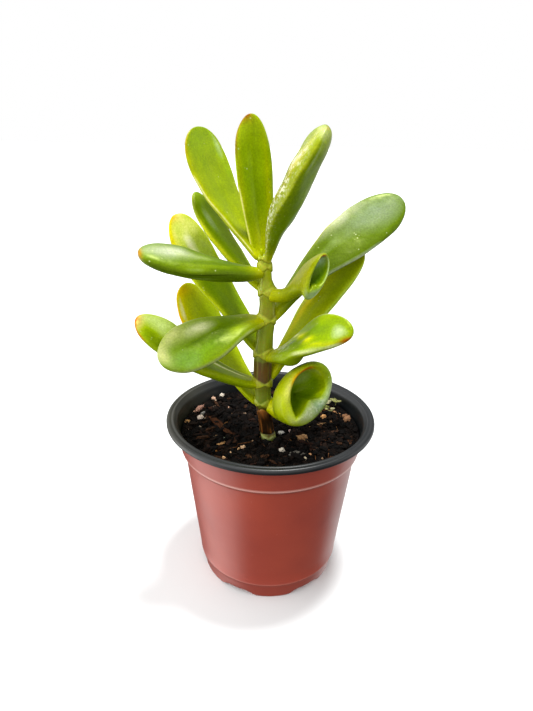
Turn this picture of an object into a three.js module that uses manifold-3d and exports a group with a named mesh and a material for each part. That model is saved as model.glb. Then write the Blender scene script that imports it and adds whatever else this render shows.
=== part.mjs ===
// A young jade plant in its nursery pot, in millimetres, +Z up.
// The origin is on the floor, at the centre of the pot's foot, and the front of the plant faces -Y.
import * as THREE from 'three';
import { mergeVertices } from 'three/addons/utils/BufferGeometryUtils.js';
import Module from 'manifold-3d';

// ---- Driving dimensions ----------------------------------------------------------------------
const GAP = 0.3; // clearance between pieces that touch on the real plant

// Pot: a thermoformed 10 cm nursery pot, one skin of plastic.
const POT_HEIGHT = 84;
const RIM_RADIUS = 50;
const RIM_INNER_RADIUS = 46.2;
const LIP_DROP = 2.6;
const LIP_EDGE = 0.5; // rounding of the rim's outer and inner edges
const NECK_RADIUS = 45.7;
const SHOULDER_RADIUS = 43.6;
const SHOULDER_Z = 68.6;
const TAPER_TOP_RADIUS = 42.1;
const TAPER_TOP_Z = 67;
const TAPER_FOOT_RADIUS = 35.4;
const TAPER_FOOT_Z = 9;
const FOOT_RADIUS = 33.4;
const POT_WALL = 1;
const FOOT_RING_WIDTH = 3;
const FOOT_RING_DRAFT = 0.6;
const FOOT_SWELL = 0.3; // the foot's wall is straight up to FOOT_SWELL_Z, then flares to the taper
const FOOT_SWELL_Z = 2.2;
const FLOOR_Z = 3;
const FLOOR_THICKNESS = 1.2;
const FOOT_LOBES = 6;
const FOOT_LOBE_TURN = 4; // degrees from the front to the middle of the first lobe
const NOTCH_ANGLE = 26; // degrees of the foot ring that each notch takes
const NOTCH_HEIGHT = 2.6;
const DRAIN_RADIUS = 3.5;
const DRAIN_CENTRE_RADIUS = 26;
const DRAIN_SIDES = 12;
const TAPER_INSET = 0.2; // how far the inside of each bend lies above the outside
const SHOULDER_INSET = 0.4;
const NECK_FOOT_DEPTH = 4; // depths under the rim where the inside's neck starts and ends
const NECK_TOP_DEPTH = 1.4;
const NECK_DRAFT = 0.1;
const NECK_FLARE = 0.3;
const INNER_RIM_EDGE = 0.1;
const POT_SIDES = 48;

// Soil: fills the pot to a few millimetres under the rim.
const SOIL_LEVEL = 75.6;
const SOIL_BUMP = 1.1;
const SOIL_CLEARANCE = 0.4; // to the pot's wall, which is straight only in its long taper
const STEM_HOLE_DEPTH = 15;
const GRIT_COUNT = 34;
const BARK_COUNT = 16;
const SOIL_SEED = 20240;
const SOIL_SIDES = 32;
const SOIL_TOP_RINGS = 6;
const ITEMS_FROM = 7; // nearest that grit and bark come to the pot's axis
const ITEMS_FROM_WALL = 2.5;
const GRIT_RADII = [0.8, 1.7];
const GRIT_STANDS = 0.25; // share of its radius that a stone's centre stands over the soil
const BARK_LENGTHS = [3.5, 8];
const BARK_WIDTHS = [1.8, 2.8];
const BARK_STANDS = 0.2;
const BARK_SIDES = 5;
const BARK_POINT = 0.3; // shares of the sliver's width
const BARK_BUTT = 0.5;
const BARK_FLATNESS = 0.6;
const BARK_LEAN = 0.12;
const BARK_TWIST = 0.3;
const STONE_SHAPE = [1, 0.85, 0.75];
const STONE_TWIST = 2.3;

// Stem: points up its axis with the stem's radius at each, from the buried end to the growing tip.
const STEM_SIDES = 14;
const STEM_END = 0.5; // how far each end is domed
const STEM_AXIS = [
  [-1, -8.4, 62.5, 2.6],
  [-1, -8.5, 68, 3.6],
  [-1, -8.6, 74, 3.8],
  [-1.3, -8.8, 77.5, 3.5],
  [-1.7, -8.9, 79.2, 2.8],
  [-2.3, -8.9, 85, 2.6],
  [-3.1, -9, 90.5, 2.9],
  [-3.5, -9, 94, 4],
  [-3.8, -9, 100, 3.7],
  [-4, -9, 104.5, 4.3],
  [-4.1, -9, 110, 4.1],
  [-3.8, -9, 118.5, 4.2],
  [-3.3, -9, 127, 3.8],
  [-2.7, -9, 134.5, 4],
  [-2.4, -9, 141, 3.4],
  [-2.5, -9, 147.5, 3.8],
  [-3.3, -9, 152.5, 2.6],
  [-3.9, -9, 157.5, 2.9],
  [-4.1, -9, 161.5, 2.5],
  [-4.1, -9, 163, 1.2],
];

// Flat and spoon leaves. foot lies in the stem and tip is the leaf's far end. leaves and ends are the
// midrib's direction at each, as azimuth from +X towards +Y and elevation, in degrees. widest is the
// share of the length where the blade is widest, neck the foot's share of the width and heel its
// share of the thickness. fold is the angle through which the blade is gutter-bent at the neck, the
// widest place and the tip, and roll turns it about its midrib, at the foot and at the tip. blunt is
// how square the tip is, edge how sharp the margins are, taper how much the blade draws in where it
// clasps the stem, and bulge a swelling of the underside: its place, reach and height.
const BLADES = {
  leaf_1_back: {
    foot: [-5.2, -7, 92.5], tip: [-41.6, 16.6, 143], leaves: [147, 44], ends: [147, 66],
    width: 23, thick: 5, widest: 0.66, neck: 0.48, fold: [60, 30, 20], roll: [0, -12],
  },
  leaf_2_left: {
    foot: [-5, -8.5, 103.2], tip: [-57.3, -20.2, 137], leaves: [193, 14], ends: [193, 36],
    width: 20.5, thick: 6, widest: 0.68, neck: 0.46, fold: [90, 50, 20], roll: [0, -32],
  },
  leaf_2_right: {
    foot: [-2, -8, 104.6], tip: [40.2, 11, 160.8], leaves: [24, 58], ends: [24, 42],
    width: 16.5, thick: 5.5, widest: 0.68, neck: 0.42, fold: [60, 30, 20], roll: [10, 25],
  },
  leaf_3_spoon: {
    foot: [-2, -11, 117.4], tip: [31, -34.4, 136.6], leaves: [-35, 20], ends: [-35, -8],
    width: 20.4, thick: 6.6, widest: 0.52, neck: 0.42, fold: [40, 85, 50], roll: [10, 52],
    heel: 0.9, blunt: 1.75, bulge: [0.27, 0.09, 3],
  },
  leaf_3_back: {
    foot: [-4.9, -7, 118.5], tip: [-44, 17.6, 175.4], leaves: [146, 50], ends: [146, 66],
    width: 19.5, thick: 5, widest: 0.7, neck: 0.6, fold: [60, 30, 20], roll: [0, -25],
  },
  leaf_4_left: {
    foot: [-4.6, -10.3, 134.6], tip: [-44.8, -36.2, 124.2], leaves: [213, -3], ends: [212, -18],
    width: 22.5, thick: 7, widest: 0.6, neck: 0.46, fold: [60, 30, 20], roll: [-15, -45],
  },
  leaf_4_right: {
    foot: [-1.5, -8, 133], tip: [57.2, 16.5, 183], leaves: [22, 52], ends: [22, 28],
    width: 22.6, thick: 6, widest: 0.66, neck: 0.3, fold: [60, 20, 10], roll: [10, 50],
    blunt: 2.7,
  },
  leaf_5_back: {
    foot: [-5, -7, 147], tip: [-35.2, 15.5, 184.7], leaves: [142, 40], ends: [142, 58],
    width: 14, thick: 5, widest: 0.66, neck: 0.45, fold: [60, 30, 20], roll: [0, 0],
  },
  leaf_6_left: {
    foot: [-4.6, -9.8, 155.2], tip: [-51.5, -31, 166.4], leaves: [205, 3], ends: [205, 12],
    width: 17.6, thick: 8.4, widest: 0.66, neck: 0.42, fold: [60, 30, 20], roll: [-10, -28],
    heel: 0.7,
  },
  leaf_6_right: {
    foot: [-4.2, -7, 159.5], tip: [-10, -6, 216], leaves: [110, 66], ends: [100, 88],
    width: 17.6, thick: 4.5, widest: 0.62, neck: 0.66, fold: [90, 60, 20], roll: [0, 0],
    blunt: 2.1, taper: 0.3,
  },
  leaf_7_front: {
    foot: [-2.6, -10.2, 160.2], tip: [17.6, -24.5, 211.5], leaves: [-44, 82], ends: [-35, 57],
    width: 27, thick: 11.5, widest: 0.6, neck: 0.22, fold: [60, 30, 20], roll: [30, 38],
    heel: 0.36, blunt: 2.6, edge: 1.3,
  },
  leaf_7_back: {
    foot: [-5.4, -7.6, 160.5], tip: [-32, 11.4, 211.4], leaves: [152, 48], ends: [143, 80],
    width: 27.5, thick: 4.5, widest: 0.72, neck: 0.3, fold: [70, 25, 15], roll: [0, 0],
    blunt: 2.8, taper: 0.1,
  },
};

// Leaves whose margins have grown together into a cup on a short stalk. mouth is the centre of the
// cup's mouth, length and width its size over the lip, turn the lean of its long axis, depth the
// bowl's depth, and lip the height of its rolled edge. swell is where the stalk starts to widen, and
// how fast. opening is how far the bowl reaches, in shares of the mouth's reach, at angles from the
// top of the long axis towards the plant's left.
const CUPS = {
  leaf_1_cup: {
    foot: [-1.5, -11, 93.8], mouth: [14.6, -26, 107.2], leaves: [-5, -20], faces: [-60, 23],
    length: 31, width: 21.4, turn: -50, depth: 10, lip: 3.2, stalk: 3, swell: [0, 0.55],
    opening: [
      [0, 0.66], [15, 0.7], [45, 0.76], [75, 0.78], [105, 0.72], [135, 0.66],
      [160, 0.64], [180, 0.68], [194, 0.76], [203, 0.5], [218, 0.3], [242, 0.24],
      [266, 0.34], [290, 0.54], [315, 0.66], [340, 0.66],
    ],
  },
  leaf_5_scoop: {
    foot: [-1, -10.5, 146], mouth: [16.8, -20, 156.3], leaves: [-20, -14], faces: [-55, 15],
    length: 21.2, width: 9, turn: -38, depth: 3.8, lip: 1.8, stalk: 3, swell: [0.34, 1],
    opening: [
      [0, 0.86], [30, 0.84], [60, 0.66], [90, 0.54], [125, 0.5], [150, 0.58],
      [164, 0.66], [180, 0.42], [218, 0.4], [250, 0.6], [272, 0.74], [300, 0.86],
      [335, 0.88],
    ],
  },
};

// Growing tip: the next pair of leaves, still pressed together.
const BUD = {
  foot: [-4.3, -9.45, 162.3], height: 3.4, width: 2.8, thick: 1.6, apart: 0.7, azimuth: 25,
};
const BUD_STEPS = 6;
const BUD_SIDES = 8;
const BUD_ROUNDNESS = 2.2;
const BUD_SPLAY = 0.5; // how far the two leaves part at their tips, in shares of apart
const HEART_SHAPE = [0.9, 0.9, 0.8]; // shares of half the bud's width
const HEART_SIDES = [10, 6];

// How every blade grows.
const BLADE_STEPS = 15;
const BLADE_SIDES = 12;
const TIP_CROWDING = 1.5; // draws the blade's steps together towards its round tip
const BLADE_REACH = 0.36; // share of the length that the midrib's end directions hold for
const UPWARD_LEAN = -0.6; // leans each blade's upper face back towards the stem
const THICKEST = 0.45; // share of the length
const TIP_THICKNESS = 0.75; // share of the full thickness
const TIP_ROUNDING = 0.2; // share of the length over which the tip's thickness rounds off
const TIP_ROUNDNESS = 2.5;
const FOOT_TAPER_REACH = 3.2;

// How every cup grows. Shares of the way over the lip and down the bowl where a ring lies.
const CUP_REACH = 0.45;
const CUP_STEPS = 9;
const CUP_SIDES = 24;
const LIP_RINGS = [0.15, 0.4, 0.65, 0.85];
const BOWL_RINGS = [0, 0.22, 0.45, 0.68, 0.86];
const FULL_LIP = 0.35; // share of the mouth that a lip of full height takes
const LIP_START = 0.06; // the lip's cross-section is a half wave, from here to LIP_END
const LIP_END = 0.86;
const LIP_LEAN = 0.8; // puts the lip's crest near its outer side
const LIP_ROLL = 1.2;
const BOWL_ROUNDNESS = 2.4;
const BOWL_SPREAD = 0.8;

const { PI, sin, cos, sqrt, abs, min, max } = Math;
const radians = (degrees) => degrees * PI / 180;
const vector = (list) => new THREE.Vector3(...list);

// ---- Solids ----------------------------------------------------------------------------------
const wasm = await Module();
wasm.setup();

function toSolid(geometry) {
  const bare = geometry.clone();
  bare.deleteAttribute('normal');
  bare.deleteAttribute('uv');
  const merged = mergeVertices(bare, 1e-4);
  return new wasm.Manifold(new wasm.Mesh({
    numProp: 3,
    vertProperties: new Float32Array(merged.attributes.position.array),
    triVerts: new Uint32Array(merged.index.array),
  }));
}

function toGeometry(solid) {
  const mesh = solid.getMesh();
  const geometry = new THREE.BufferGeometry();
  const positions = new Float32Array(mesh.vertProperties);
  geometry.setAttribute('position', new THREE.BufferAttribute(positions, 3));
  geometry.setIndex(new THREE.BufferAttribute(new Uint32Array(mesh.triVerts), 1));
  return geometry;
}

// The largest body of a solid: what a cut leaves loose is dropped.
function largest(solid) {
  const bodies = solid.decompose();
  return bodies.reduce((best, body) => (body.volume() > best.volume() ? body : best));
}

// A closed skin over rings of points, with a point at each end.
function skin(start, rings, end) {
  const sides = rings[0].length;
  const points = [start, ...rings.flat(), end];
  const last = points.length - 1;
  const at = (ring, side) => 1 + ring * sides + (side % sides);
  const index = [];
  for (let side = 0; side < sides; side += 1) {
    index.push(0, at(0, side + 1), at(0, side));
    index.push(last, at(rings.length - 1, side), at(rings.length - 1, side + 1));
  }
  for (let ring = 0; ring + 1 < rings.length; ring += 1) {
    for (let side = 0; side < sides; side += 1) {
      index.push(at(ring, side), at(ring, side + 1), at(ring + 1, side + 1));
      index.push(at(ring, side), at(ring + 1, side + 1), at(ring + 1, side));
    }
  }
  const geometry = new THREE.BufferGeometry();
  const flat = points.flatMap((point) => point.toArray());
  geometry.setAttribute('position', new THREE.Float32BufferAttribute(flat, 3));
  geometry.setIndex(index);
  return toSolid(geometry);
}

// ---- Shapes of growth ------------------------------------------------------------------------
const clamp01 = (x) => min(1, max(0, x));
const ease = (x) => clamp01(x) ** 2 * (3 - 2 * clamp01(x));
const blend = (a, b, x) => a + (b - a) * x;

// A small repeatable random draw.
function randomDraw(seed) {
  let state = seed;
  return () => {
    state = (state * 1664525 + 1013904223) % 4294967296;
    return state / 4294967296;
  };
}

function direction([azimuth, elevation]) {
  const a = radians(azimuth);
  const e = radians(elevation);
  return new THREE.Vector3(cos(e) * cos(a), cos(e) * sin(a), sin(e));
}

// The midrib: a smooth curve that leaves and ends in the given directions.
function midrib(foot, end, leaves, ends, reach) {
  const a = vector(foot);
  const d = vector(end);
  const chord = a.distanceTo(d);
  const b = a.clone().addScaledVector(direction(leaves), chord * reach);
  const c = d.clone().addScaledVector(direction(ends), -chord * reach);
  return new THREE.CubicBezierCurve3(a, b, c, d);
}

const bell = (x, reach) => Math.exp(-((x / reach) ** 2));

// The blade's cross-section at a share of its length, grow millimetres larger all round.
function bladeSection(leaf, chord, u, grow) {
  const { heel = 0.8, blunt = 2.4, taper = 0.32 } = leaf;
  const tipward = clamp01((u - leaf.widest) / (1 - leaf.widest));
  const toWidest = ease(u / leaf.widest);
  const outline = u < leaf.widest ? blend(leaf.neck, 1, toWidest) : sqrt(1 - tipward ** blunt);
  const bent = u < leaf.widest
    ? blend(leaf.fold[0], leaf.fold[1], toWidest)
    : blend(leaf.fold[1], leaf.fold[2], ease(tipward));
  const swell = u < THICKEST
    ? blend(heel, 1, ease(u / THICKEST))
    : blend(1, TIP_THICKNESS, ease((u - THICKEST) / (1 - THICKEST)));
  const rounding = sqrt(1 - clamp01((u - 1 + TIP_ROUNDING) / TIP_ROUNDING) ** TIP_ROUNDNESS);
  const waist = 1 - taper * bell(u * chord, FOOT_TAPER_REACH);
  const halfWidth = leaf.width / 2 * outline * waist + grow;
  return {
    halfWidth,
    halfThick: leaf.thick / 2 * swell * rounding * waist + grow,
    curl: radians(bent) / (2 * halfWidth),
    roll: radians(blend(leaf.roll[0], leaf.roll[1], ease(u))),
  };
}

// A fleshy blade on its midrib, grow millimetres larger all round.
function bladeSolid(leaf, grow = 0) {
  const { edge = 0.85, bulge = [0, 1, 0] } = leaf;
  const rib = midrib(leaf.foot, leaf.tip, leaf.leaves, leaf.ends, BLADE_REACH);
  const chord = vector(leaf.foot).distanceTo(vector(leaf.tip));
  const upper = direction([leaf.leaves[0], 0]).multiplyScalar(UPWARD_LEAN);
  upper.z = 1;
  upper.normalize();
  const rings = [];
  for (let step = 0; step < BLADE_STEPS; step += 1) {
    const u = 1 - (1 - step / BLADE_STEPS) ** TIP_CROWDING;
    const { halfWidth, halfThick, curl, roll } = bladeSection(leaf, chord, u, grow);
    const swelling = bulge[2] * bell(u - bulge[0], bulge[1]);
    const centre = rib.getPoint(u);
    const along = rib.getTangent(u);
    const normal = upper.clone().addScaledVector(along, -upper.dot(along)).normalize();
    normal.applyAxisAngle(along, roll);
    const side = normal.clone().cross(along);
    const sink = (1 - cos(curl * halfWidth)) / curl / 2;
    const ring = [];
    for (let k = 0; k < BLADE_SIDES; k += 1) {
      const v = 2 * PI * k / BLADE_SIDES;
      const bow = halfWidth * cos(v) * curl;
      const face = sin(v);
      const out = halfThick * Math.sign(face) * abs(face) ** edge + swelling * min(0, face);
      ring.push(centre.clone()
        .addScaledVector(side, sin(bow) / curl - out * sin(bow))
        .addScaledVector(normal, (1 - cos(bow)) / curl + out * cos(bow) - sink));
    }
    rings.push(ring);
  }
  const end = vector(leaf.tip).addScaledVector(direction(leaf.ends), grow);
  return skin(vector(leaf.foot), rings, end);
}

// The bowl's reach at an angle round the mouth, eased from one given reach to the next.
function reachOf(opening, angle) {
  const [first] = opening;
  const turned = [...opening, [first[0] + 360, first[1]]];
  const next = turned.findIndex(([to]) => to > angle);
  const [from, reachFrom] = turned[next - 1];
  const [to, reachTo] = turned[next];
  return blend(reachFrom, reachTo, ease((angle - from) / (to - from)));
}

// A cup on its stalk: rings swell from the stalk to the mouth, roll over the lip and go down inside.
function cupSolid(leaf, grow = 0) {
  const rib = midrib(leaf.foot, leaf.mouth, leaf.leaves, leaf.faces, CUP_REACH);
  const faces = direction(leaf.faces);
  const long = new THREE.Vector3(0, 0, 1).addScaledVector(faces, -faces.z).normalize();
  long.applyAxisAngle(faces, radians(leaf.turn));
  const mouth = vector(leaf.mouth);
  const angles = Array.from({ length: CUP_SIDES }, (_, k) => 360 * k / CUP_SIDES);
  const reaches = angles.map((angle) => reachOf(leaf.opening, angle));
  // A ring round a place on the axis. shape gives each angle's share of the size and its height.
  const ringAt = (centre, along, halfLength, halfWidth, shape) => {
    const lengthwise = long.clone().addScaledVector(along, -long.dot(along)).normalize();
    const side = along.clone().cross(lengthwise);
    return angles.map((angle, k) => {
      const v = radians(angle);
      const [share, height] = shape(reaches[k]);
      return centre.clone()
        .addScaledVector(along, height)
        .addScaledVector(lengthwise, halfLength * share * cos(v))
        .addScaledVector(side, halfWidth * share * sin(v));
    });
  };
  const rings = [];
  for (let step = 0; step <= CUP_STEPS; step += 1) {
    const u = step / CUP_STEPS;
    const swollen = ease((u - leaf.swell[0]) / (1 - leaf.swell[0])) ** leaf.swell[1];
    const halfLength = blend(leaf.stalk, leaf.length / 2, swollen) + grow;
    const halfWidth = blend(leaf.stalk, leaf.width / 2, swollen) + grow;
    rings.push(ringAt(rib.getPoint(u), rib.getTangent(u), halfLength, halfWidth, () => [1, 0]));
  }
  const crest = (open) => leaf.lip * min(1, sqrt((1 - open) / FULL_LIP));
  const lipHeight = (open, w) => crest(open) * sin(PI * blend(LIP_START, LIP_END, w ** LIP_LEAN));
  const addInside = (shape) => {
    rings.push(ringAt(mouth, faces, leaf.length / 2, leaf.width / 2, shape));
  };
  for (const w of LIP_RINGS) {
    addInside((open) => [blend(1, open, 1 - (1 - w) ** LIP_ROLL), lipHeight(open, w)]);
  }
  for (const w of BOWL_RINGS) {
    addInside((open) => {
      const edge = lipHeight(open, 1);
      const down = (edge + leaf.depth) * (1 - (1 - w) ** BOWL_ROUNDNESS);
      return [open * (1 - ease(w) ** BOWL_SPREAD), edge - down];
    });
  }
  return skin(vector(leaf.foot), rings, mouth.clone().addScaledVector(faces, -leaf.depth));
}

// Two tiny leaves that stand side by side on one heart.
function budSolid(grow = 0) {
  const outward = direction([BUD.azimuth, 0]);
  const sideways = direction([BUD.azimuth - 90, 0]);
  const halves = [-1, 1].map((hand) => {
    const foot = vector(BUD.foot).addScaledVector(outward, hand * BUD.apart);
    const at = (u) => foot.clone()
      .addScaledVector(outward, hand * BUD.apart * BUD_SPLAY * u)
      .add(new THREE.Vector3(0, 0, (BUD.height + grow) * u));
    const rings = [];
    for (let step = 0; step < BUD_STEPS; step += 1) {
      const u = step / BUD_STEPS;
      const size = sqrt(1 - u ** BUD_ROUNDNESS);
      const ring = [];
      for (let k = 0; k < BUD_SIDES; k += 1) {
        const v = 2 * PI * k / BUD_SIDES;
        ring.push(at(u)
          .addScaledVector(sideways, (BUD.width / 2 * size + grow) * cos(v))
          .addScaledVector(outward, (BUD.thick / 2 * size + grow) * sin(v)));
      }
      rings.push(ring);
    }
    return skin(foot, rings, at(1));
  });
  const heart = new THREE.SphereGeometry(BUD.width / 2 + grow, ...HEART_SIDES);
  heart.scale(...HEART_SHAPE);
  heart.translate(...BUD.foot);
  return halves[0].add(halves[1]).add(toSolid(heart));
}

function stemSolid(grow = 0) {
  const rings = STEM_AXIS.map(([x, y, z, radius]) => {
    const ring = [];
    for (let k = 0; k < STEM_SIDES; k += 1) {
      const v = 2 * PI * k / STEM_SIDES;
      ring.push(new THREE.Vector3(x + (radius + grow) * cos(v), y + (radius + grow) * sin(v), z));
    }
    return ring;
  });
  const [x0, y0, z0] = STEM_AXIS[0];
  const [x1, y1, z1] = STEM_AXIS.at(-1);
  const foot = new THREE.Vector3(x0, y0, z0 - STEM_END - grow);
  return skin(foot, rings, new THREE.Vector3(x1, y1, z1 + STEM_END + grow));
}

// ---- Pot and soil ----------------------------------------------------------------------------
// The inside of the pot's wall, from the floor up to the rim.
const POT_INSIDE = [
  [FOOT_RADIUS - POT_WALL, FLOOR_Z + FLOOR_THICKNESS],
  [TAPER_FOOT_RADIUS - POT_WALL, TAPER_FOOT_Z + TAPER_INSET],
  [TAPER_TOP_RADIUS - POT_WALL, TAPER_TOP_Z + SHOULDER_INSET],
  [SHOULDER_RADIUS - POT_WALL, SHOULDER_Z + SHOULDER_INSET],
  [NECK_RADIUS - POT_WALL - NECK_DRAFT, POT_HEIGHT - NECK_FOOT_DEPTH],
  [NECK_RADIUS - POT_WALL + NECK_FLARE, POT_HEIGHT - NECK_TOP_DEPTH],
  [RIM_INNER_RADIUS, POT_HEIGHT - INNER_RIM_EDGE],
];

function lathe(profile) {
  const points = profile.map(([radius, z]) => new THREE.Vector2(radius, z));
  const geometry = new THREE.LatheGeometry(points, POT_SIDES);
  geometry.rotateX(PI / 2);
  return toSolid(geometry);
}

function potSolid() {
  const underFloor = FOOT_RADIUS - FOOT_RING_WIDTH;
  const skinProfile = [
    [0, FLOOR_Z],
    [underFloor - FOOT_RING_DRAFT, FLOOR_Z],
    [underFloor, 0],
    [FOOT_RADIUS, 0],
    [FOOT_RADIUS + FOOT_SWELL, FOOT_SWELL_Z],
    [TAPER_FOOT_RADIUS, TAPER_FOOT_Z],
    [TAPER_TOP_RADIUS, TAPER_TOP_Z],
    [SHOULDER_RADIUS, SHOULDER_Z],
    [NECK_RADIUS, POT_HEIGHT - LIP_DROP - LIP_EDGE],
    [RIM_RADIUS - LIP_EDGE, POT_HEIGHT - LIP_DROP],
    [RIM_RADIUS, POT_HEIGHT - LIP_DROP + LIP_EDGE],
    [RIM_RADIUS, POT_HEIGHT - LIP_EDGE],
    [RIM_RADIUS - LIP_EDGE, POT_HEIGHT],
    [RIM_INNER_RADIUS + LIP_EDGE, POT_HEIGHT],
    ...POT_INSIDE.toReversed(),
    [0, FLOOR_Z + FLOOR_THICKNESS],
  ];
  let pot = lathe(skinProfile);
  const lobePitch = 360 / FOOT_LOBES;
  const notchWidth = 2 * FOOT_RADIUS * sin(radians(NOTCH_ANGLE / 2));
  for (let lobe = 0; lobe < FOOT_LOBES; lobe += 1) {
    const angle = radians(-90 + FOOT_LOBE_TURN + (lobe + 0.5) * lobePitch);
    const notch = new THREE.BoxGeometry(3 * FOOT_RING_WIDTH, notchWidth, 2 * NOTCH_HEIGHT);
    notch.translate(FOOT_RADIUS, 0, 0);
    notch.rotateZ(angle);
    const drainDepth = 4 * FLOOR_THICKNESS;
    const drain = new THREE.CylinderGeometry(DRAIN_RADIUS, DRAIN_RADIUS, drainDepth, DRAIN_SIDES);
    drain.rotateX(PI / 2);
    drain.translate(DRAIN_CENTRE_RADIUS, 0, FLOOR_Z + FLOOR_THICKNESS / 2);
    drain.rotateZ(angle);
    pot = pot.subtract(toSolid(notch)).subtract(toSolid(drain));
  }
  return pot;
}

// A crumb of grit: a rounded stone of few faces, sunk into the soil's surface.
function gritStone(radius, x, y, z, turn) {
  const stone = new THREE.IcosahedronGeometry(radius, 0);
  stone.scale(...STONE_SHAPE);
  stone.rotateX(turn);
  stone.rotateZ(turn * STONE_TWIST);
  stone.translate(x, y, z);
  return toSolid(stone);
}

// A sliver of bark: a thin wedge lying almost flat.
function barkSliver(length, width, x, y, z, turn) {
  const [point, butt] = [width * BARK_POINT, width * BARK_BUTT];
  const sliver = new THREE.CylinderGeometry(point, butt, length, BARK_SIDES);
  sliver.scale(1, 1, BARK_FLATNESS);
  sliver.rotateZ(PI / 2 + BARK_LEAN * sin(turn * BARK_SIDES));
  sliver.rotateX(turn * BARK_TWIST);
  sliver.rotateZ(turn);
  sliver.translate(x, y, z);
  return toSolid(sliver);
}

// Height of the soil's crumbled surface over a place in the pot.
function soilHeight(x, y) {
  const crumbs = sin(x * 0.31 + 1.3) * cos(y * 0.27 - 0.4) + 0.6 * sin(x * 0.47 - y * 0.36);
  return SOIL_LEVEL + SOIL_BUMP * crumbs / 2;
}

function soilSolid() {
  const draw = randomDraw(SOIL_SEED);
  const clear = GAP + SOIL_CLEARANCE;
  const wall = POT_INSIDE.slice(0, 5).map(([radius, z]) => [radius - clear, z]);
  wall[0][1] += GAP;
  const [shoulder, neck] = wall.slice(3);
  const filled = (SOIL_LEVEL - shoulder[1]) / (neck[1] - shoulder[1]);
  const topRadius = blend(shoulder[0], neck[0], filled);
  const ringOf = (radius, height) => {
    const ring = [];
    for (let k = 0; k < SOIL_SIDES; k += 1) {
      const v = 2 * PI * k / SOIL_SIDES;
      const x = radius * cos(v);
      const y = radius * sin(v);
      ring.push(new THREE.Vector3(x, y, height(x, y)));
    }
    return ring;
  };
  const rings = wall.slice(0, 4).map(([radius, z]) => ringOf(radius, () => z));
  for (let k = SOIL_TOP_RINGS; k > 0; k -= 1) {
    rings.push(ringOf(topRadius * k / SOIL_TOP_RINGS, soilHeight));
  }
  const bottom = new THREE.Vector3(0, 0, wall[0][1]);
  let soil = skin(bottom, rings, new THREE.Vector3(0, 0, soilHeight(0, 0)));
  const place = () => {
    const radius = ITEMS_FROM + (topRadius - ITEMS_FROM - ITEMS_FROM_WALL) * sqrt(draw());
    const angle = 2 * PI * draw();
    return [radius * cos(angle), radius * sin(angle)];
  };
  for (let k = 0; k < GRIT_COUNT; k += 1) {
    const [x, y] = place();
    const radius = blend(...GRIT_RADII, draw());
    const z = soilHeight(x, y) + GRIT_STANDS * radius;
    soil = soil.add(gritStone(radius, x, y, z, 2 * PI * draw()));
  }
  for (let k = 0; k < BARK_COUNT; k += 1) {
    const [x, y] = place();
    const length = blend(...BARK_LENGTHS, draw());
    const width = blend(...BARK_WIDTHS, draw());
    const z = soilHeight(x, y) + BARK_STANDS;
    soil = soil.add(barkSliver(length, width, x, y, z, 2 * PI * draw()));
  }
  const [holeX, holeY, , stemRadius] = STEM_AXIS[2];
  const holeRadius = stemRadius + GAP;
  const hole = new THREE.CylinderGeometry(holeRadius, holeRadius, 2 * STEM_HOLE_DEPTH, STEM_SIDES);
  hole.rotateX(PI / 2);
  hole.translate(holeX, holeY, SOIL_LEVEL);
  return largest(soil.subtract(toSolid(hole)));
}

// ---- Assembly --------------------------------------------------------------------------------
const group = new THREE.Group();

function addPiece(name, solid, color, roughness) {
  const geometry = toGeometry(solid);
  const material = new THREE.MeshStandardMaterial({ color, roughness, metalness: 0 });
  const mesh = new THREE.Mesh(geometry, material);
  mesh.name = name;
  group.add(mesh);
}

addPiece('pot', potSolid(), 0xa8452f, 0.45);
addPiece('soil', soilSolid(), 0x1c1512, 1);
addPiece('stem', stemSolid(), 0x7c8a2c, 0.6);

// Each leaf is trimmed to sit against the stem, the bud and the leaves that were placed before it.
const standing = [stemSolid(GAP)];
function addLeaf(name, solid, swollen, color) {
  const leaf = standing.reduce((rest, neighbour) => rest.subtract(neighbour), solid);
  standing.push(swollen);
  addPiece(name, largest(leaf), color, 0.4);
}

addLeaf('leaf_bud', budSolid(), budSolid(GAP), 0xa8bc30);
for (const [name, leaf] of Object.entries(CUPS)) {
  addLeaf(name, cupSolid(leaf), cupSolid(leaf, GAP), 0x9ab02c);
}
for (const [name, leaf] of Object.entries(BLADES)) {
  addLeaf(name, bladeSolid(leaf), bladeSolid(leaf, GAP), 0x84a81c);
}

export default group;
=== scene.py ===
"""A young jade plant in its nursery pot: fleshy leaves in pairs up one stem, in crumbly soil.

Shapes are worked out in millimetres, +Z up, with the origin under the middle of the pot's foot and
the plant's front towards -Y, and are turned to metres as they go into a mesh.
"""
import math
import random

import bpy
from mathutils import Matrix, Quaternion, Vector, noise


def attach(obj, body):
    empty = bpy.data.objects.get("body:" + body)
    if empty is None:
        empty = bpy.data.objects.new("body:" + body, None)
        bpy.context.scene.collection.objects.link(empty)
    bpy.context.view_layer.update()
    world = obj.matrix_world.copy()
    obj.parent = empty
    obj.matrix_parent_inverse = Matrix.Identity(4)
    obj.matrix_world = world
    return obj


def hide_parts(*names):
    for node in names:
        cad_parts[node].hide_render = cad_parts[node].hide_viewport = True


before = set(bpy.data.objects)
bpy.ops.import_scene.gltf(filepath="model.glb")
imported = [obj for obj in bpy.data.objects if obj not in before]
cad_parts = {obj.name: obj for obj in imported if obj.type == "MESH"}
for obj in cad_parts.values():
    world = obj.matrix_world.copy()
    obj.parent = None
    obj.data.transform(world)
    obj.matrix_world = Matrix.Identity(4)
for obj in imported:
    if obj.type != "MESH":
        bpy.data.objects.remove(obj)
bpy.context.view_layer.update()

MM = 0.001
TURN = 2 * math.pi
SAME_POINT = 0.002
LEAF_SEED = 5
SOIL_SEED = 20240
# noise_vector draws its offsets from the clock unless they are seeded.
noise.seed_set(LEAF_SEED)

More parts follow.
